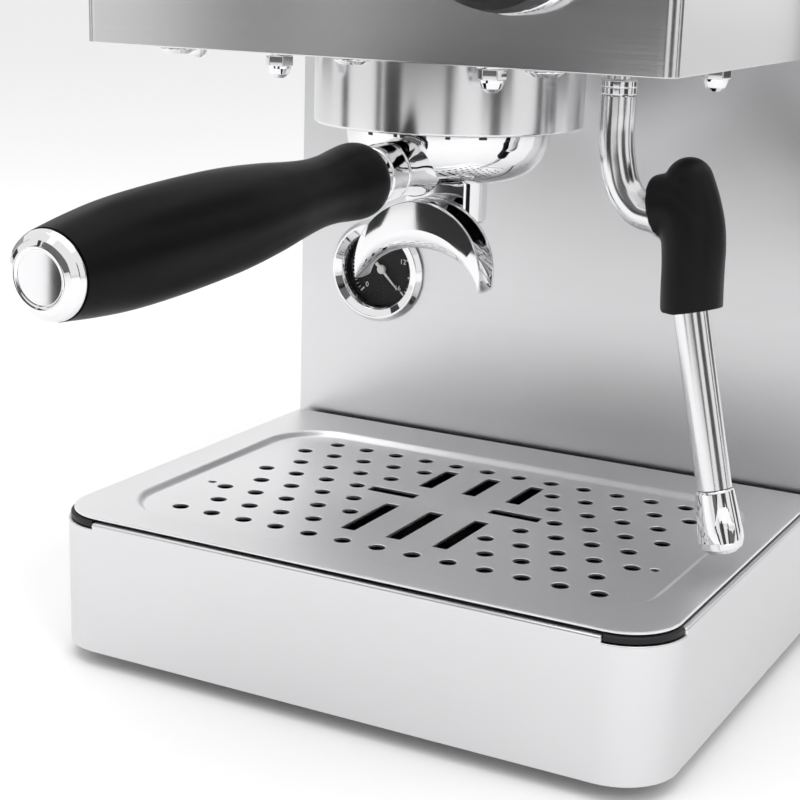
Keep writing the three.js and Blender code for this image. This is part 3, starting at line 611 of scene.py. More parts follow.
def drip_grille():
    def edge(inset):
        side = 2 + inset
        return outline(HALF - side, side, TRAY_DEPTH - 1.5 - inset, CORNER - side, 1.0, 16)

    def dip(inset):
        radius = max(RECESS["corner"] - inset, 2.0)
        half, front, back = RECESS["half"] - inset, RECESS["front"] + inset, RECESS["back"] - inset
        return outline(half, front, back, radius, radius, 16)

    low = PLATE_TOP - PLATE_THICK
    layers = [(edge(3), low), (edge(0.3), low), (edge(0), low + 0.3), (edge(0), PLATE_TOP - 0.4),
              (edge(0.12), PLATE_TOP - 0.12), (edge(0.4), PLATE_TOP), (dip(-1.5), PLATE_TOP)]
    steps = 12
    for i in range(steps + 1):
        f = i / steps
        ease = f * f * (3 - 2 * f)
        layers.append((dip(DIP_WIDTH * f), PLATE_TOP - PLATE_DIP * ease))
    rim = loose("drip_grille_steel", stack(layers, cap_first=False, cap_last=False))
    floor_z = PLATE_TOP - PLATE_DIP
    holes = [circle_points(x, y, HOLE_RADIUS) for x, y in grille_rows()]
    for x in (-SLOT_X, 0, SLOT_X):
        for front, back in SLOT_SPANS:
            holes.append(slot_points(x - SLOT_HALF, x + SLOT_HALF, front, back))
    cross = FIRST_ROW_Y + CROSS_ROW * ROW_PITCH
    for side in (-1, 1):
        x0, x1 = sorted((side * (SLOT_X - SLOT_HALF), side * (SLOT_X + CROSS_SLOT_LENGTH)))
        holes.append(slot_points(x0, x1, cross - SLOT_HALF, cross + SLOT_HALF))
        holes.append(circle_points(side * SMALL_HOLE["x"], SMALL_HOLE["y"], SMALL_HOLE["radius"], 20))
    floor = flat_with_holes("grille_floor", dip(DIP_WIDTH - 0.6), holes, PLATE_THICK, floor_z + 0.01)
    joined = bmesh.new()
    joined.from_mesh(rim.data)
    joined.from_mesh(floor.data)
    bpy.data.objects.remove(floor)
    joined.to_mesh(rim.data)
    joined.free()
    return finish_piece(rim, "grille", steel_plate, ["drip_grille"], 35)


drip_grille()


# ---- Panels and shells ----
def splash_panel():
    low, high = reach("splash_panel")
    panel = loose("splash_panel_steel", block(low.x, high.x, low.y, high.y, low.z, high.z))
    place = facing_front(GAUGE.x, low.y - 5, GAUGE.z)
    drill(panel, place, 17.6, -12, 8, 64)
    soft_edges(panel, 0.3, 2)
    return finish_piece(panel, "root", steel_x, ["splash_panel"])


splash_panel()


def head_shell():
    back = reach("head_shell")[1].y
    wrap = channel(HEAD_HALF, HEAD_FRONT, back, HEAD_CORNER, HEAD_BOTTOM, SHELL_TOP)
    shell = loose("head_shell_steel", wrap)
    soft_edges(shell, 0.4, 3, 50)
    knob = facing_front(KNOB.x, HEAD_FRONT - 5, KNOB.z)
    drill(shell, knob, 7, -12, 8, 40)
    lamp = middle("power_lamp")
    lamp_place = facing_front(lamp.x, HEAD_FRONT - 5, lamp.z)
    drill(shell, lamp_place, 4.6, -12, 8, 40)
    low, high = reach("switch_frame")
    cut_block(shell, low.x + 3, high.x - 3, 0, 15, low.z + 4, high.z - 4)
    return finish_piece(shell, "root", steel_head, ["head_shell"])


head_shell()


def head_bottom():
    low, high = reach("head_bottom_plate")
    outer = outline(high.x, low.y, high.y, HEAD_CORNER - SHEET, 0.0, 12)
    holes = [circle_points(0, GROUP.y, 30, 64), circle_points(WAND.x, WAND.y, 4.9, 32)]
    plate = flat_with_holes("head_bottom_steel", outer, holes, SHEET, high.z, 0.2)
    return finish_piece(plate, "root", steel_x, ["head_bottom_plate"])


head_bottom()


CABINET_CORNER = 12.0
VENT_COUNT = 6
VENT_LOW = 91.5
VENT_PITCH = 9.0
VENT_HALF = 43.5
VENT_RADIUS = 1.5


def back_corners(radius):
    """The two rear corners in plan, from the right to the left."""
    right = corner_arc(HALF - CABINET_CORNER, CABINET_BACK - CABINET_CORNER, radius, 0, 12)
    left = corner_arc(CABINET_CORNER - HALF, CABINET_BACK - CABINET_CORNER, radius, 0.5 * math.pi, 12)
    return right + left


def body_shell():
    low, high = reach("body_shell")
    lip = HEAD_HALF + 0.3
    face = CABINET_FRONT
    inside = face + SHEET
    points = [(lip, face), (HALF, face)] + back_corners(CABINET_CORNER)
    points += [(-HALF, face), (-lip, face), (-lip, inside), (-HALF + SHEET, inside)]
    points += back_corners(CABINET_CORNER - SHEET)[::-1] + [(HALF - SHEET, inside), (lip, inside)]
    shell = loose("body_shell_steel", stack([(points, low.z), (points, high.z)]))
    soft_edges(shell, 0.4, 3, 50)
    cut_block(shell, -HALF + SHEET, HALF - SHEET, face - 2, face + 4, low.z - 2, HEAD_BOTTOM)
    inlet = middle("power_inlet")
    cut_block(shell, inlet.x - 14, inlet.x + 14, CABINET_BACK - 5, CABINET_BACK + 3,
              inlet.z - 10.5, inlet.z + 10.5)
    vents = bmesh.new()
    for i in range(VENT_COUNT):
        z = VENT_LOW + VENT_PITCH * i
        points = []
        for side in (-1, 1):
            for k in range(17):
                turn = math.pi * k / 16 - side * math.pi / 2
                x = side * VENT_HALF + VENT_RADIUS * math.cos(turn)
                points.append((x, z + VENT_RADIUS * math.sin(turn)))
        near = [vents.verts.new(at(x, CABINET_BACK - 4, h)) for x, h in points]
        far = [vents.verts.new(at(x, CABINET_BACK + 2, h)) for x, h in points]
        bridge(vents, near, far)
    boolean(shell, loose("cut", vents))
    return finish_piece(shell, "root", steel_x, ["body_shell"])


body_shell()


def t_outline(inset, steps=12):
    """The cup tray's outline: the head's width in front and the cabinet's behind it."""
    head, wide = HEAD_HALF - inset, HALF - inset
    radius = max(HEAD_CORNER - inset, 1.0)
    front = HEAD_FRONT + inset
    step = CABINET_FRONT + inset
    back = reach("cup_tray")[1].y - inset
    small = 1.0
    points = corner_arc(-head + radius, front + radius, radius, math.pi, steps)
    points += corner_arc(head - radius, front + radius, radius, 1.5 * math.pi, steps)
    points += [(head, step)]
    points += corner_arc(wide - small, step + small, small, 1.5 * math.pi, 3)
    points += corner_arc(wide - small, back - small, small, 0, 3)
    points += corner_arc(-wide + small, back - small, small, 0.5 * math.pi, 3)
    points += corner_arc(-wide + small, step + small, small, math.pi, 3)
    points += [(-head, step)]
    return points


def cup_tray():
    low = reach("cup_tray")[0].z
    floor = low + 2.0
    layers = [(t_outline(0.4), low), (t_outline(0), low + 0.4), (t_outline(0), TOP - 0.9),
              (t_outline(0.25), TOP - 0.25), (t_outline(0.9), TOP), (t_outline(1.2), TOP),
              (t_outline(1.75), TOP - 0.25), (t_outline(2), TOP - 0.9), (t_outline(2.2), floor + 1.6),
              (t_outline(2.8), floor + 0.5), (t_outline(4.2), floor)]
    tray = loose("cup_tray_steel", stack(layers))
    return finish_piece(tray, "root", steel_x, ["cup_tray"])


cup_tray()


def tank_lid():
    low, high = reach("tank_lid")

    def side(inset):
        radius = max(CABINET_CORNER - inset, 1)
        return outline(HALF - inset, low.y + inset, CABINET_BACK - inset, 1.2, radius, 14)

    layers = [(side(2), low.z + 1.5), (side(2), low.z), (side(0.4), low.z), (side(0), low.z + 0.4),
              (side(0), TOP - 1.2), (side(0.35), TOP - 0.35), (side(1.2), TOP), (side(9), TOP),
              (side(9.8), TOP - 0.35), (side(10.4), TOP - 0.7)]
    lid = loose("tank_lid_steel", stack(layers))
    return finish_piece(lid, "lid", steel_x, ["tank_lid"])


tank_lid()


# ---- Pressure gauge ----
BEZEL_RADIUS = (reach("gauge_bezel")[1].x - reach("gauge_bezel")[0].x) / 2
BEZEL_OPENING = 15.5
DIAL_START = 225.0
DIAL_SWEEP = 270.0
DIAL_MAJORS = 8
DIAL_MARKS = 40
MARK_RADIUS = 14.4
NUMBER_RADIUS = 10.3
NEEDLE_REST = -45.0


def dial_direction(degrees):
    """Outwards and across at an angle on the dial's face."""
    turn = math.radians(degrees)
    out = Vector((math.cos(turn), math.sin(turn), 0))
    return out, Vector((-out.y, out.x, 0))


def flat_bar(mesh_data, place, corners, low, high):
    """A thin bar on the dial, between two depths."""
    near = [mesh_data.verts.new(place @ (c + Vector((0, 0, low)))) for c in corners]
    far = [mesh_data.verts.new(place @ (c + Vector((0, 0, high)))) for c in corners]
    bridge(mesh_data, near, far)


def gauge_number(text, degrees):
    out, _ = dial_direction(degrees)
    label = bpy.data.curves.new(f"gauge_number_{text}", "FONT")
    label.body = text
    label.size = 3.0 * MM
    label.extrude = 0.05 * MM
    label.align_x = "CENTER"
    label.align_y = "CENTER"
    holder = linked(f"gauge_number_{text}", label)
    holder.rotation_euler = (math.pi / 2, 0, 0)
    holder.location = at(GAUGE.x + NUMBER_RADIUS * out.x, SPLASH_Y + 4.1, GAUGE.z + NUMBER_RADIUS * out.y)
    finish_piece(meshed(holder), "root", print_white)


def gauge():
    place = facing_front(GAUGE.x, SPLASH_Y, GAUGE.z)
    inner, outer = BEZEL_OPENING, BEZEL_RADIUS
    bezel = rounded_loop([(inner, 0.4), (inner, 1.0), (inner + 0.7, 2.2), (outer - 2.4, 3.6),
                          (outer - 1.6, 3.6), (outer - 0.8, 2.4), (outer, 1.3), (outer, 0.4)], 0.5)
    finish_mesh("gauge_bezel_chrome", lathe(bezel, place, 96), "root", chrome, ["gauge_bezel"], 40)
    case = [(0, -5), (15.9, -5), (16.0, -0.1), (17.1, -0.1), (17.1, -22), (15, -24), (0, -24)]
    finish_mesh("gauge_case_black", lathe(case, place, 64), "root", black_plastic, ["gauge_case"])
    dial = [(0, -4.2), (15.6, -4.2), (15.6, -4.8), (0, -4.8)]
    finish_mesh("gauge_dial_black", lathe(dial, place, 64), "root", dial_black, ["gauge_dial"])
    pane = rounded([(0, -0.2), (15.7, -0.2), (15.7, -1.4), (0, -1.4)], 0.15, 2)
    finish_mesh("gauge_glass_clear", lathe(pane, place, 64), "root", glass, ["gauge_glass"])

    ticks = bmesh.new()
    for i in range(DIAL_MARKS + 1):
        out, across = dial_direction(DIAL_START - DIAL_SWEEP * i / DIAL_MARKS)
        big = i % (DIAL_MARKS // DIAL_MAJORS) == 0
        length, width = (2.2, 0.34) if big else (1.1, 0.16)
        far, near = out * MARK_RADIUS, out * (MARK_RADIUS - length)
        across *= width
        flat_bar(ticks, place, (far + across, far - across, near - across, near + across), -4.19, -4.08)
    finish_mesh("gauge_scale_marks", ticks, "root", print_white)
    for i in range(0, DIAL_MAJORS + 1, 2):
        gauge_number(str(2 * i), DIAL_START - DIAL_SWEEP * i / DIAL_MAJORS)

    needle = bmesh.new()
    hub = rounded([(0, -2.2), (1.6, -2.2), (1.9, -2.6), (1.9, -3.8), (0, -3.8)], 0.2, 2)
    lathe(hub, place, 32, needle)
    out, across = dial_direction(NEEDLE_REST)
    tail, point = out * -3.6, out * 10.8
    corners = (tail + across * 0.7, tail - across * 0.7, point - across * 0.18, point + across * 0.18)
    flat_bar(needle, place, corners, -3.2, -2.7)
    finish_mesh("gauge_pointer_white", needle, "needle", print_white, ["gauge_pointer"])


gauge()


# ---- Group head ----
BELL_LOW = reach("group_bell")[0].z
BELL_TOP = reach("group_bell")[1].z
BELL_RADIUS = (reach("group_bell")[1].x - reach("group_bell")[0].x) / 2


def sector(turn, half_spread, inner, outer):
    """The outline in plan of a piece of a ring round the group's axis; angles in degrees."""
    points = []
    steps = 12
    for radius, order in ((outer, 1), (inner, -1)):
        for i in range(steps + 1)[::order]:
            angle = math.radians(turn - half_spread + 2 * half_spread * i / steps)
            points.append((GROUP.x + radius * math.cos(angle), GROUP.y + radius * math.sin(angle)))
    return points


def group_head():
    axis = upright(GROUP.x, GROUP.y)
    shelf = BELL_LOW + 1.6
    profile = rounded_loop([(36.4, BELL_LOW), (BELL_RADIUS, BELL_LOW), (BELL_RADIUS, BELL_TOP),
                            (40.3, BELL_TOP), (40.3, shelf), (36.4, shelf)], 0.8)
    bell = loose("group_bell_chrome", lathe(profile, axis, 128))
    for turn in (-50, 130):
        notch = sector(turn, 25, 34, 39.9)
        boolean(bell, loose("cut", stack([(notch, BELL_LOW - 2), (notch, BELL_LOW + 3)])))
    finish_piece(bell, "root", chrome_satin, ["group_bell"])

    low, high = reach("group_body")
    body = rounded([(0, low.z), (39.7, low.z), (39.7, 215.3), (29, 215.3), (29, high.z),
                    (0, high.z)], 0.6)
    finish_mesh("group_body_brass", lathe(body, axis, 96), "root", brass, ["group_body"])
    low, high = reach("group_gasket")
    seal = rounded_loop([(29.3, low.z), (35.5, low.z), (35.5, high.z), (29.3, high.z)], 0.5)
    finish_mesh("group_gasket_rubber", lathe(seal, axis, 96), "root", rubber, ["group_gasket"])

    holes = []
    for ring, count in ((5, 8), (10, 16), (15, 24), (20, 32), (25, 40)):
        for x, y in circle_points(GROUP.x, GROUP.y, ring, count):
            holes.append(circle_points(x, y, 0.7, 8))
    outer = circle_points(GROUP.x, GROUP.y, 28.5, 96)
    screen_top = reach("shower_screen")[1].z
    screen = flat_with_holes("shower_screen_steel", outer, holes, 1.1, screen_top, 0.1)
    finish_piece(screen, "root", steel_plate, ["shower_screen"])
    screw_top = reach("screen_screw")[1].z
    screw_head("screen_screw_steel", GROUP.x, GROUP.y, screw_top, 3.4, 1.3, ["screen_screw"])


def screw_head(name, x, y, top, radius, depth, nodes=()):
    """A pan head that faces down, with a cross recess."""
    axis = upright(x, y)
    face = top - depth
    profile = rounded([(0, face), (radius * 0.7, face), (radius, top - depth * 0.4), (radius, top),
                       (0, top)], 0.35, 3)
    head = loose(name, lathe(profile, axis, 32))
    arm = radius * 0.55
    for x0, x1, y0, y1 in ((-arm, arm, -0.35, 0.35), (-0.35, 0.35, -arm, arm)):
        cut_block(head, x + x0, x + x1, y + y0, y + y1, top - depth - 1, top - depth * 0.45)
    finish_piece(head, "root", chrome, nodes)


group_head()


def cap_nut(name, spot, top, nodes=()):
    """A domed hexagon nut on a washer, hanging under the head."""
    washer = rounded([(0, top - 1.1), (5.3, top - 1.1), (5.3, top), (0, top)], 0.3, 2)
    body = lathe(washer, upright(spot.x, spot.y), 40)
    dome = rounded([(0, top - 8.6), (1.6, top - 8.4), (3.1, top - 7.2), (3.8, top - 5.4),
                    (3.9, top - 4.4), (3.9, top - 1.1), (0, top - 1.1)], 0.5, 3)
    lathe(dome, upright(spot.x, spot.y), 40, body)
    nut = loose(f"{name}_chrome", body)
    points = []
    for i in range(6):
        turn = math.radians(60 * i + 15)
        points.append((spot.x + 4.6 * math.cos(turn), spot.y + 4.6 * math.sin(turn)))
    hexagon = loose("hexagon", stack([(points, top - 4.6), (points, top - 1.2)]))
    soft_edges(hexagon, 0.35, 3)
    boolean(nut, hexagon, "UNION")
    finish_piece(nut, "root", chrome, nodes)


HEAD_NUT_Y = 66.0
HEAD_SCREW_Y = 18.5
for nut_row in ("front", "rear"):
    for nut_side in ("left", "right"):
        nut_name = f"group_nut_{nut_row}_{nut_side}"
        cap_nut(nut_name, middle(nut_name), reach(nut_name)[1].z, [nut_name])
for nut_side, nut_x in (("left", -96), ("right", 96)):
    cap_nut(f"head_nut_{nut_side}", Vector((nut_x, HEAD_NUT_Y, 0)), HEAD_BOTTOM + 1.6)
for number, screw_x in enumerate((-70, -5, 60)):
    screw_head(f"head_screw_{number + 1}", screw_x, HEAD_SCREW_Y, HEAD_BOTTOM - 0.1, 5.8, 2.0)


# ---- Portafilter ----
SPOUT_BACK = reach("double_spout")[1].y
SPOUT_MIDDLE = middle("double_spout").y
OUTLET_Z = 164.0
OUTLET_RADIUS = 3.0


def portafilter():
    axis = upright(GROUP.x, GROUP.y)
    top = reach("portafilter_body")[1].z
    low = reach("portafilter_body")[0].z
    bowl = smooth_path([(14.4, 174, 0), (18, 174.2, 0), (23.5, 175.2, 0), (28.5, 177.6, 0),
                        (32, 181.5, 0), (33.9, 186, 0), (34.5, 190, 0)], 6)
    foot = rounded([(0, low), (14, low), (14, 173.4)], 1.4, 5)
    hollow = rounded([(34.5, 191), (34.5, top), (30.2, top), (30, 182), (24, 176), (4.2, 176), (4.2, 163),
                      (0, 163)], 1.0, 4)
    outer = foot + [(point.x, point.y) for point in bowl] + hollow
    body = loose("portafilter_body_chrome", lathe(outer, axis, 128))
    for turn in (0, 180):
        ear = sector(turn, 21, 32, 39.3)
        boolean(body, loose("ear", stack([(ear, top - 2.1), (ear, top - 0.02)])), "UNION")
    cut_block(body, -20, 20, GROUP.y - 20, SPOUT_BACK + 0.3, low - 1, 173.4)
    drill(body, facing_front(0, SPOUT_BACK, OUTLET_Z), OUTLET_RADIUS, -8, 2, 32)
    finish_piece(body, "portafilter", chrome, ["portafilter_body"], 40)

    arm = rounded([(0, -34), (11.4, -34), (10.4, -30), (9.5, -25), (9.2, -20), (9.2, -14.5),
                   (0, -14.5)], 1.2)
    finish_mesh("portafilter_arm_chrome", lathe(arm, HANDLE, 64), "portafilter", chrome)

    low, high = reach("filter_basket")
    rim_low = high.z - 1.1
    basket = rounded([(0, low.z), (22, low.z), (28, 182.5), (29.3, 184), (29.3, rim_low), (33.8, rim_low),
                      (33.8, high.z), (28.6, high.z), (28.4, 184.4), (22, 178.4), (0, 178.4)], 0.4, 3)
    finish_mesh("filter_basket_steel", lathe(basket, axis, 96), "portafilter", steel_plate,
                ["filter_basket"])


GRIP_REAR = Vector((0, 17.5, 179.5))
DROOP = math.atan2(8, 150)
HANDLE = along(GRIP_REAR, Vector((0, -math.cos(DROOP), -math.sin(DROOP))))
GRIP_LENGTH = 150.0
CAP_PROFILE = ((0, 0.3), (11.4, 0.3), (11.5, 1.0), (10.9, 2.4), (9.4, 3.9), (7.9, 4.6), (7.3, 4.5),
               (6.9, 4.1), (0, 4.1))


def handle():
    ferrule = rounded([(0, -14.2), (9.2, -14.2), (9.4, -13.6), (9.4, -4.6), (8.9, -4.2), (8.9, -3.6),
                       (9.4, -3.2), (9.6, -0.3), (0, -0.3)], 0.4)
    finish_mesh("handle_ferrule_chrome", lathe(ferrule, HANDLE, 64), "portafilter", chrome,
                ["handle_ferrule"], 40)
    curve = smooth_path([(9.6, 0.6, 0), (11.3, 1.8, 0), (11.95, 5, 0), (11.5, 11, 0), (10.6, 20, 0),
                         (10.5, 30, 0), (11.5, 42, 0), (13.1, 56, 0), (14.5, 74, 0), (15, 92, 0),
                         (15, 110, 0), (14.5, 125, 0), (13.3, 138, 0), (11.7, GRIP_LENGTH, 0)], 6)
    grip = [(0, 0.05), (8.2, 0.05), (9, 0.2)] + [(p.x, p.y) for p in curve] + [(0, GRIP_LENGTH)]
    finish_mesh("handle_grip_black", lathe(grip, HANDLE, 96), "portafilter", black_grip,
                ["handle_grip"], 50)
    cap = rounded([(radius, GRIP_LENGTH + past) for radius, past in CAP_PROFILE], 0.9, 5)
    finish_mesh("handle_end_cap_chrome", lathe(cap, HANDLE, 96), "portafilter", chrome,
                ["handle_end_cap"], 50)


portafilter()
handle()


def double_spout():
    """A crescent-shaped gutter, open at the top, with a pouring lip at each end."""
    low, high = reach("double_spout")
    half = (high.y - low.y) / 2
    wall = 1.4
    steps = 64
    lip, lip_z = 23.7, 144.7
    under, under_z = 32.0, 119.8
    tip = math.asin((low.z - lip_z) / lip)
    under_tip = math.asin((low.z - under_z) / under)

    body = bmesh.new()
    rings = []
    for i in range(steps + 1):
        f = i / steps
        lip_turn = tip + (math.pi - 2 * tip) * f
        under_turn = under_tip + (math.pi - 2 * under_tip) * f
        edge = Vector((lip * math.cos(lip_turn), 0, lip_z + lip * math.sin(lip_turn)))
        keel = Vector((under * math.cos(under_turn), 0, under_z + under * math.sin(under_turn)))
        near_tip = min(f, 1 - f) * 2
        keel -= Vector((0, 0, 2.2)) * (1 - near_tip) ** 6
        rise = edge - keel
        wide = half * (1 - 0.06 * (1 - near_tip) ** 4)
        inner = wide - wall
        outside = []
        for k in range(9):
            turn = (math.pi / 2) * k / 8
            outside.append((keel + rise * 0.42 * (1 - math.cos(turn)), wide * math.sin(turn)))
        outside.append((edge - rise * 0.04, wide))
        outside.append((edge, wide - 0.35))
        inside = [(edge, inner + 0.35), (edge - rise * 0.04, inner)]
        for k in range(7, -1, -1):
            turn = (math.pi / 2) * k / 8
            inside.append((keel + rise * (0.1 + 0.38 * (1 - math.cos(turn))), inner * math.sin(turn)))
        section = outside + inside
        mirrored = [(p, -y) for p, y in section[::-1] if abs(y) > 1e-6]
        full = section + mirrored
        rings.append([body.verts.new(at(GROUP.x + p.x, SPOUT_MIDDLE - y, p.z)) for p, y in full])
    for first, second in zip(rings, rings[1:]):
        ring_faces(body, first, second)
    body.faces.new(rings[0])
    body.faces.new(rings[-1])
    spout = loose("double_spout_chrome", body)
    drill(spout, facing_front(0, SPOUT_BACK, OUTLET_Z), OUTLET_RADIUS, -3, 4, 32)
    finish_piece(spout, "portafilter", chrome, ["double_spout"], 45)


double_spout()


# ---- Steam wand ----
NOZZLE_TIP = Vector((109.8, 66, 63.4))
GRIP_FOOT = Vector((92, 70, 140))
DOWN = (NOZZLE_TIP - GRIP_FOOT).normalized()
NOZZLE_TOP = NOZZLE_TIP - DOWN * 21
TUBE_RADIUS = 5.7


def steam_wand():
    x, y = WAND.x, WAND.y
    route = [(x, y, 205.9), (x, y, 201), (x, y, 194), (x + 0.8, y, 186), (66, y, 176.5),
             (71.8, y - 0.3, 170.4), (79.5, y - 1, 168.4), (86.6, y - 1.6, 163), (90, y - 2, 152),
             tuple(GRIP_FOOT), tuple(NOZZLE_TOP)]
    tube = sweep(smooth_path(route, 10), TUBE_RADIUS, 48)
    lathe(rounded([(0, 205), (4.1, 205), (4.1, 230), (0, 230)], 0.3), upright(x, y), 48, tube)
    finish_mesh("steam_tube_chrome", tube, "steam_wand", chrome_satin, ["steam_tube"], 40)
    collar = rounded_loop([(4.4, 206.3), (5.6, 206.3), (5.9, 206.7), (5.9, 208.6), (5.7, 208.8),
                           (5.9, 209.0), (5.9, 210.7), (5.2, 211.3), (4.4, 211.3)], 0.25)
    finish_mesh("wand_collar_chrome", lathe(collar, upright(x, y), 64), "root", chrome,
                ["wand_collar"], 40)

    nozzle = rounded([(0, 0.2), (5.9, 0.2), (6.3, 1), (6.7, 6), (7.4, 14), (7.4, 17), (6.6, 19.4),
                      (4.6, 21), (0, 21)], 0.8, 4)
    place = along(NOZZLE_TOP, DOWN)
    tip = loose("steam_nozzle_chrome", lathe(nozzle, place, 64))
    for quarter in range(4):
        turn = Matrix.Rotation(math.radians(90 * quarter + 30), 4, "Z")
        beside = place @ turn @ Matrix.Translation((10.6, 0, 11.5))
        scoop = lathe([(0, -7), (4.2, -6), (5.4, 0), (4.2, 6), (0, 7)], beside, 40)
        boolean(tip, loose("cut", scoop))
    finish_piece(tip, "steam_wand", chrome, ["steam_nozzle"], 40)


steam_wand()


THUMB = (88.4, 70.2, 181)
THUMB_RADIUS = 7.8


def wand_grip():
    """The rubber elbow: a sleeve, a shoulder over the bend and a thumb bump, melted together."""
    sleeve = smooth_path([(77.8, 71, 172), (84.4, 70.7, 173), (89.8, 70.4, 166.5), (91.4, 70.2, 157),
                          (91.8, 70, 147), (92.1, 70, 139.6)], 8)
    body = loose("wand_grip_rubber", sweep(sleeve, 10.0, 40))
    ridge = smooth_path([THUMB, (91.2, 70.2, 174), (93.3, 70.2, 166), (93.9, 70.1, 156),
                         (92.6, 70, 141)], 8)
    boolean(body, loose("ridge", sweep(ridge, THUMB_RADIUS, 40)), "UNION")
    thumb_rest = bmesh.new()
    bmesh.ops.create_icosphere(thumb_rest, subdivisions=4, radius=THUMB_RADIUS * MM,
                               matrix=Matrix.Translation(at(*THUMB)))
    boolean(body, loose("thumb_rest", thumb_rest), "UNION")
    remesh = body.modifiers.new("remesh", "REMESH")
    remesh.mode = "VOXEL"
    remesh.voxel_size = 0.7 * MM
    baked(body)
    smooth = body.modifiers.new("smooth", "SMOOTH")
    smooth.factor = 0.5
    smooth.iterations = 14
    baked(body)
    foot = at(*GRIP_FOOT)
    for vertex in body.data.vertices:
        below = (vertex.co - foot).dot(DOWN)
        if below > 0:
            vertex.co -= DOWN * below
    finish_piece(body, "steam_wand", rubber, ["wand_grip"], 60)


wand_grip()


# ---- Steam knob ----
KNOB_GROOVES = 24


def steam_knob():
    place = facing_front(KNOB.x, 0, KNOB.z)
    profile = rounded([(0, 13.6), (9, 13.6), (11, 14.9), (17, 15), (22, 13.6), (24.4, 10), (25.4, 3),
                       (25.4, -3), (0, -3)], 1.6, 5)
    knob = loose("steam_knob_black", lathe(profile, place, 120))
    grooves = bmesh.new()
    for i in range(KNOB_GROOVES):
        turn = Matrix.Rotation(2 * math.pi * i / KNOB_GROOVES, 4, "Z")
        beside = place @ turn @ Matrix.Translation((26.6, 0, 0))
        lathe([(0, -4), (1.7, -4), (1.7, 8), (0, 11)], beside, 16, grooves)
    boolean(knob, loose("cut", grooves))
    finish_piece(knob, "knob", black_plastic, ["steam_knob"], 35)
    ring = rounded([(0, -3.3), (25.4, -3.3), (26.2, -4.6), (26.1, -6.2), (25.2, -7.4), (0, -7.4)], 0.8)
    finish_mesh("knob_ring_chrome", lathe(ring, place, 96), "knob", chrome, ["knob_ring"], 40)


steam_knob()


# ---- Switches and lamp ----
SWITCH_NAMES = ("power", "brew", "steam")
ROCKER_TILT = math.radians(-7)
ROCKER_HALF = 10.4
SIGN_LOW, SIGN_HIGH = -0.3, 0.32


def rocker(name):
    """A dished rocker, tilted as when it is off, with a raised white sign."""
    spot = middle(f"{name}_switch")
    pivot = at(spot.x, HEAD_FRONT + 6, 290.0)
    turn = Matrix.Translation(pivot) @ Matrix.Rotation(ROCKER_TILT, 4, "X") @ Matrix.Scale(MM, 4)
    face = smooth_path([(-9.0, -10.4, 0), (-9.3, -9.6, 0), (-8.5, -5, 0), (-8.0, 0, 0), (-8.5, 5, 0),
                        (-9.3, 9.6, 0), (-9.0, 10.4, 0)], 5)
    points = [(p.x, p.y) for p in face] + [(2, 6.8), (2, -6.8)]
    body = bmesh.new()
    left = [body.verts.new(turn @ Vector((-ROCKER_HALF, y, z))) for y, z in points]
    right = [body.verts.new(turn @ Vector((ROCKER_HALF, y, z))) for y, z in points]
    bridge(body, left, right)
    key = soft_edges(loose(f"{name}_switch_black", body), 0.5, 3, 40)
    finish_piece(key, f"{name}_rocker", black_plastic, [f"{name}_switch"], 40)
    place = turn @ Matrix.Translation((0, -8.62, 5.2)) @ Matrix.Rotation(math.radians(83), 4, "X")
    ring = [(1.5, SIGN_LOW), (2.0, SIGN_LOW), (2.0, SIGN_HIGH), (1.5, SIGN_HIGH), (1.5, SIGN_LOW)]
    dot = [(0, SIGN_LOW), (1.3, SIGN_LOW), (1.3, SIGN_HIGH), (0, SIGN_HIGH)]
    sign = lathe(ring, place, 32) if name == "power" else lathe(dot, place, 24)
    finish_mesh(f"{name}_switch_mark", sign, f"{name}_rocker", print_white)


def switches():
    low, high = reach("switch_frame")
    border = loose("switch_frame_black", block(low.x, high.x, low.y, high.y, low.z, high.z))
    for name in SWITCH_NAMES:
        spot = middle(f"{name}_switch")
        cut_block(border, spot.x - 11.1, spot.x + 11.1, low.y - 3, high.y + 3, spot.z - 12.6,
                  spot.z + 12.6)
    soft_edges(border, 0.5, 3)
    finish_piece(border, "root", black_plastic, ["switch_frame"])
    for name in SWITCH_NAMES:
        rocker(name)

    lamp = middle("power_lamp")
    place = facing_front(lamp.x, HEAD_FRONT, lamp.z)
    lens = rounded([(0, 4.4), (2.4, 3.9), (3.9, 2.6), (4.2, 1.6), (4.2, -8), (0, -8)], 0.8)
    finish_mesh("power_lamp_amber", lathe(lens, place, 48), "root", amber, ["power_lamp"])
    ring = rounded_loop([(4.35, 0.3), (5.6, 0.3), (5.6, 1.0), (5.0, 1.9), (4.35, 1.9)], 0.3)
    finish_mesh("power_lamp_ring", lathe(ring, place, 48), "root", chrome)


switches()


# ---- Water tank ----
VALVE_X = 60.0
VALVE_Y = 317.0


def water_tank():
    low, high = reach("water_tank")
    bottom = low.z + 8

    def side(inset):
        radius = max(14 - inset, 2)
        return outline(high.x - inset, low.y + inset, high.y - inset, radius, radius, 10)

    layers = [(side(3.5), bottom), (side(1), bottom + 1), (side(0), bottom + 3.5), (side(0), high.z - 9),
              (side(-1.2), high.z - 8), (side(-1.2), high.z - 0.5), (side(-0.8), high.z),
              (side(1.4), high.z),
              (side(2.2), high.z - 8), (side(2.2), bottom + 5.5), (side(3.2), bottom + 3.6),
              (side(6), bottom + 3)]
    tank = loose("water_tank_smoky", stack(layers))
    finish_piece(tank, "tank", tank_plastic, ["water_tank"])
    valve = rounded([(0, low.z), (4, low.z), (4.6, low.z + 2), (7.4, low.z + 2.6), (7.4, bottom),
                     (0, bottom)], 0.5)
    axis = upright(VALVE_X, VALVE_Y)
    finish_mesh("tank_valve", lathe(valve, axis, 40), "tank", black_plastic)


water_tank()


# ---- Mains inlet ----
CAVITY_BACK = CABINET_BACK - 18


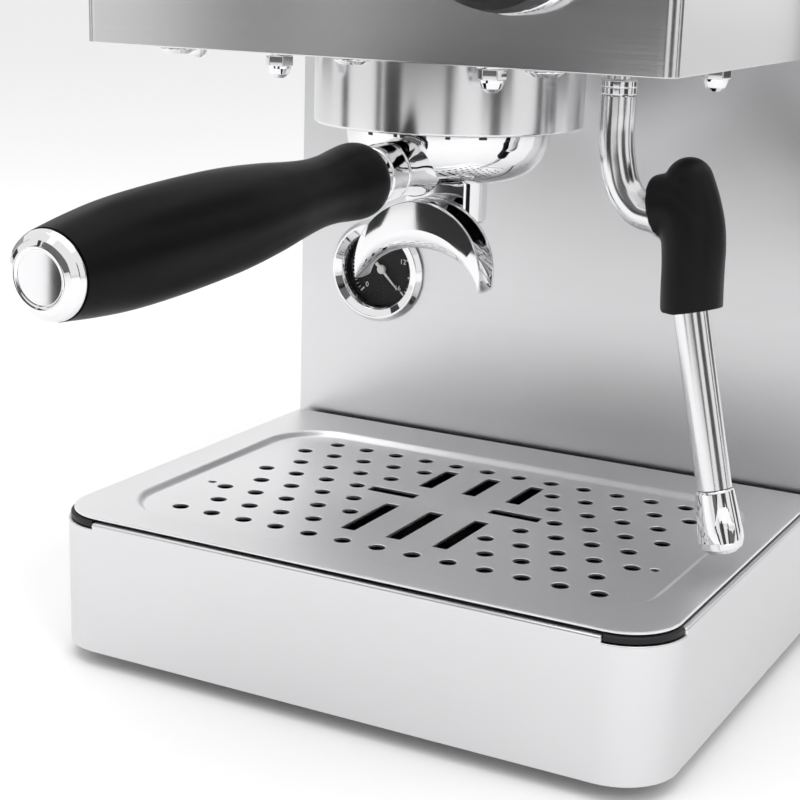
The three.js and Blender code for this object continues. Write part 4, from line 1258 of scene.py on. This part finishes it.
def power_inlet():
    low, high = reach("power_inlet")
    spot = middle("power_inlet")
    plate = block(low.x, high.x, CABINET_BACK + 0.3, high.y, low.z, high.z)
    flange = soft_edges(loose("power_inlet_black", plate), 1.2, 4)
    core = block(spot.x - 13.5, spot.x + 13.5, low.y, CABINET_BACK + 1, spot.z - 10, spot.z + 10)
    boolean(flange, loose("core", core), "UNION")
    points = [(-11.5, -7.6), (11.5, -7.6), (11.5, 3.6), (7.6, 7.6), (-7.6, 7.6), (-11.5, 3.6)]
    cavity = bmesh.new()
    near = [cavity.verts.new(at(spot.x + px, CAVITY_BACK, spot.z + pz)) for px, pz in points]
    far = [cavity.verts.new(at(spot.x + px, CABINET_BACK + 5, spot.z + pz)) for px, pz in points]
    bridge(cavity, near, far)
    boolean(flange, loose("cut", cavity))
    finish_piece(flange, "root", black_plastic, ["power_inlet"])
    blades = bmesh.new()
    for dx, dz in ((-7, -2), (0, 2), (7, -2)):
        x, z = spot.x + dx, spot.z + dz
        block(x - 1, x + 1, CAVITY_BACK, CABINET_BACK - 3, z - 2, z + 2, blades)
    pins = soft_edges(loose("inlet_blades", blades), 0.4, 2)
    finish_piece(pins, "root", chrome_satin)


power_inlet()

# ---- Pieces whose CAD shape shows as it is, with softened edges ----
KEPT = {
    steel_dull: ["chassis_floor", "tank_shelf", "heating_element"],
    rubber: ["foot_front_left", "foot_front_right", "foot_rear_left", "foot_rear_right"],
    brass: ["valve_spindle", "steam_valve_body", "boiler", "feed_pipe", "steam_pipe"],
    black_plastic: ["brew_thermostat", "steam_thermostat", "solenoid_valve", "pump"],
    board_green: ["control_board"],
    hose_white: ["suction_hose"],
}
for look, names in KEPT.items():
    for name in names:
        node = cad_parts[name]
        node.data.materials.clear()
        node.data.materials.append(look)
        node.data.shade_smooth()
        node.data.set_sharp_from_angle(angle=math.radians(32))
        edges = node.modifiers.new("soft edges", "BEVEL")
        edges.width = 0.35 * MM
        edges.segments = 2
        edges.limit_method = "ANGLE"
        edges.angle_limit = math.radians(50)


# ---- Stage: floor, lights and camera; places here are in metres ----
AIM = Vector((0, 0, 0.2))
LIGHTS = (
    ("top_light", (0.1, -0.2, 1.5), (0, 0, 0.1), (1.6, 1.2), 10, True),
    ("left_light", (-1.4, -0.8, 0.8), (0, 0, 0.15), (1.0, 1.2), 7, False),
    ("right_light", (1.3, -0.9, 0.9), (0, 0, 0.15), (0.6, 1.2), 6, False),
)
CARDS = (
    ("dark_card_1", (-0.62, -1.0, 0.3), AIM, (0.10, 0.9), 0.02),
    ("dark_card_2", (-1.05, -0.45, 0.35), AIM, (0.16, 0.9), 0.03),
    ("dark_card_3", (0.55, -1.15, 0.3), AIM, (0.12, 0.9), 0.02),
    ("dark_card_4", (1.1, -0.55, 0.3), AIM, (0.2, 0.9), 0.03),
    ("dark_card_front", (0.05, -1.2, 0.42), (0, 0, 0.3), (1.4, 0.6), 0.12),
    ("dark_card_back_left", (-1.4, 1.2, 0.4), AIM, (0.8, 0.6), 0.4),
    ("dark_card_back_right", (1.3, 1.3, 0.45), AIM, (0.9, 0.8), 0.08),
    ("dark_card_right", (1.5, -0.7, 0.45), AIM, (0.8, 0.8), 0.08),
    ("dark_card_left", (-1.5, 0.2, 0.4), AIM, (0.6, 0.6), 0.3),
    ("dark_card_low", (-0.2, -0.62, 0.11), (0.05, -0.1, 0.27), (0.16, 0.14), 0.02),
    ("dark_card_5", (1.15, 0.3, 0.35), AIM, (0.16, 0.8), 0.04),
)
CAMERA_SPOT = (269.2, -455.8, 250.5)
CAMERA_TURN = 28.17
CAMERA_DROP = 14.61
CAMERA_ROLL = 1.64
CAMERA_LENS = 78.6


def stage_square(name, size, grey, rough):
    """A flat grey square that isn't part of the object, and its shader."""
    square_data = bmesh.new()
    bmesh.ops.create_grid(square_data, x_segments=1, y_segments=1, size=size)
    mesh = bpy.data.meshes.new(name)
    square_data.to_mesh(mesh)
    square_data.free()
    square = linked(name, mesh)
    made, _, shader = material(name)
    shader.inputs["Base Color"].default_value = (grey, grey, grey, 1)
    shader.inputs["Roughness"].default_value = rough
    mesh.materials.append(made)
    return square, shader


def facing(spot, aim, axis):
    return (Vector(aim) - Vector(spot)).to_track_quat(axis, "Y").to_euler()


def softbox(name, spot, aim, size, power, glossy):
    light = bpy.data.lights.new(name, "AREA")
    light.shape = "RECTANGLE"
    light.size, light.size_y = size
    light.energy = power
    holder = linked(name, light)
    holder.location = spot
    holder.rotation_euler = facing(spot, aim, "-Z")
    holder.visible_glossy = glossy


def dark_card(name, spot, aim, size, grey):
    """A card that only reflections see."""
    card, _ = stage_square(name, 0.5, grey, 1.0)
    card.location = spot
    card.rotation_euler = facing(spot, aim, "Z")
    card.scale = (*size, 1)
    card.visible_camera = False
    card.visible_diffuse = False
    card.visible_shadow = False


def rotation(degrees, axis):
    return Matrix.Rotation(math.radians(degrees), 4, axis)


def stage():
    _, shader = stage_square("floor", 6.0, 0.84, 0.6)
    shader.inputs["Specular IOR Level"].default_value = 0.05

    scene = bpy.context.scene
    world = bpy.data.worlds.new("studio")
    scene.world = world
    world.use_nodes = True
    backdrop = world.node_tree.nodes["Background"]
    backdrop.inputs["Color"].default_value = (1, 1, 1, 1)
    backdrop.inputs["Strength"].default_value = 1.0

    for light in LIGHTS:
        softbox(*light)
    for card in CARDS:
        dark_card(*card)

    scene.view_settings.view_transform = "Standard"
    lens = bpy.data.cameras.new("camera")
    lens.lens = CAMERA_LENS
    lens.sensor_width = 36
    lens.clip_start = 0.01
    camera = linked("camera", lens)
    look_down = rotation(90 - CAMERA_DROP, "X")
    turn = rotation(CAMERA_TURN, "Z") @ look_down @ rotation(CAMERA_ROLL, "Z")
    camera.matrix_world = Matrix.Translation(at(*CAMERA_SPOT)) @ turn
    scene.camera = camera


stage()
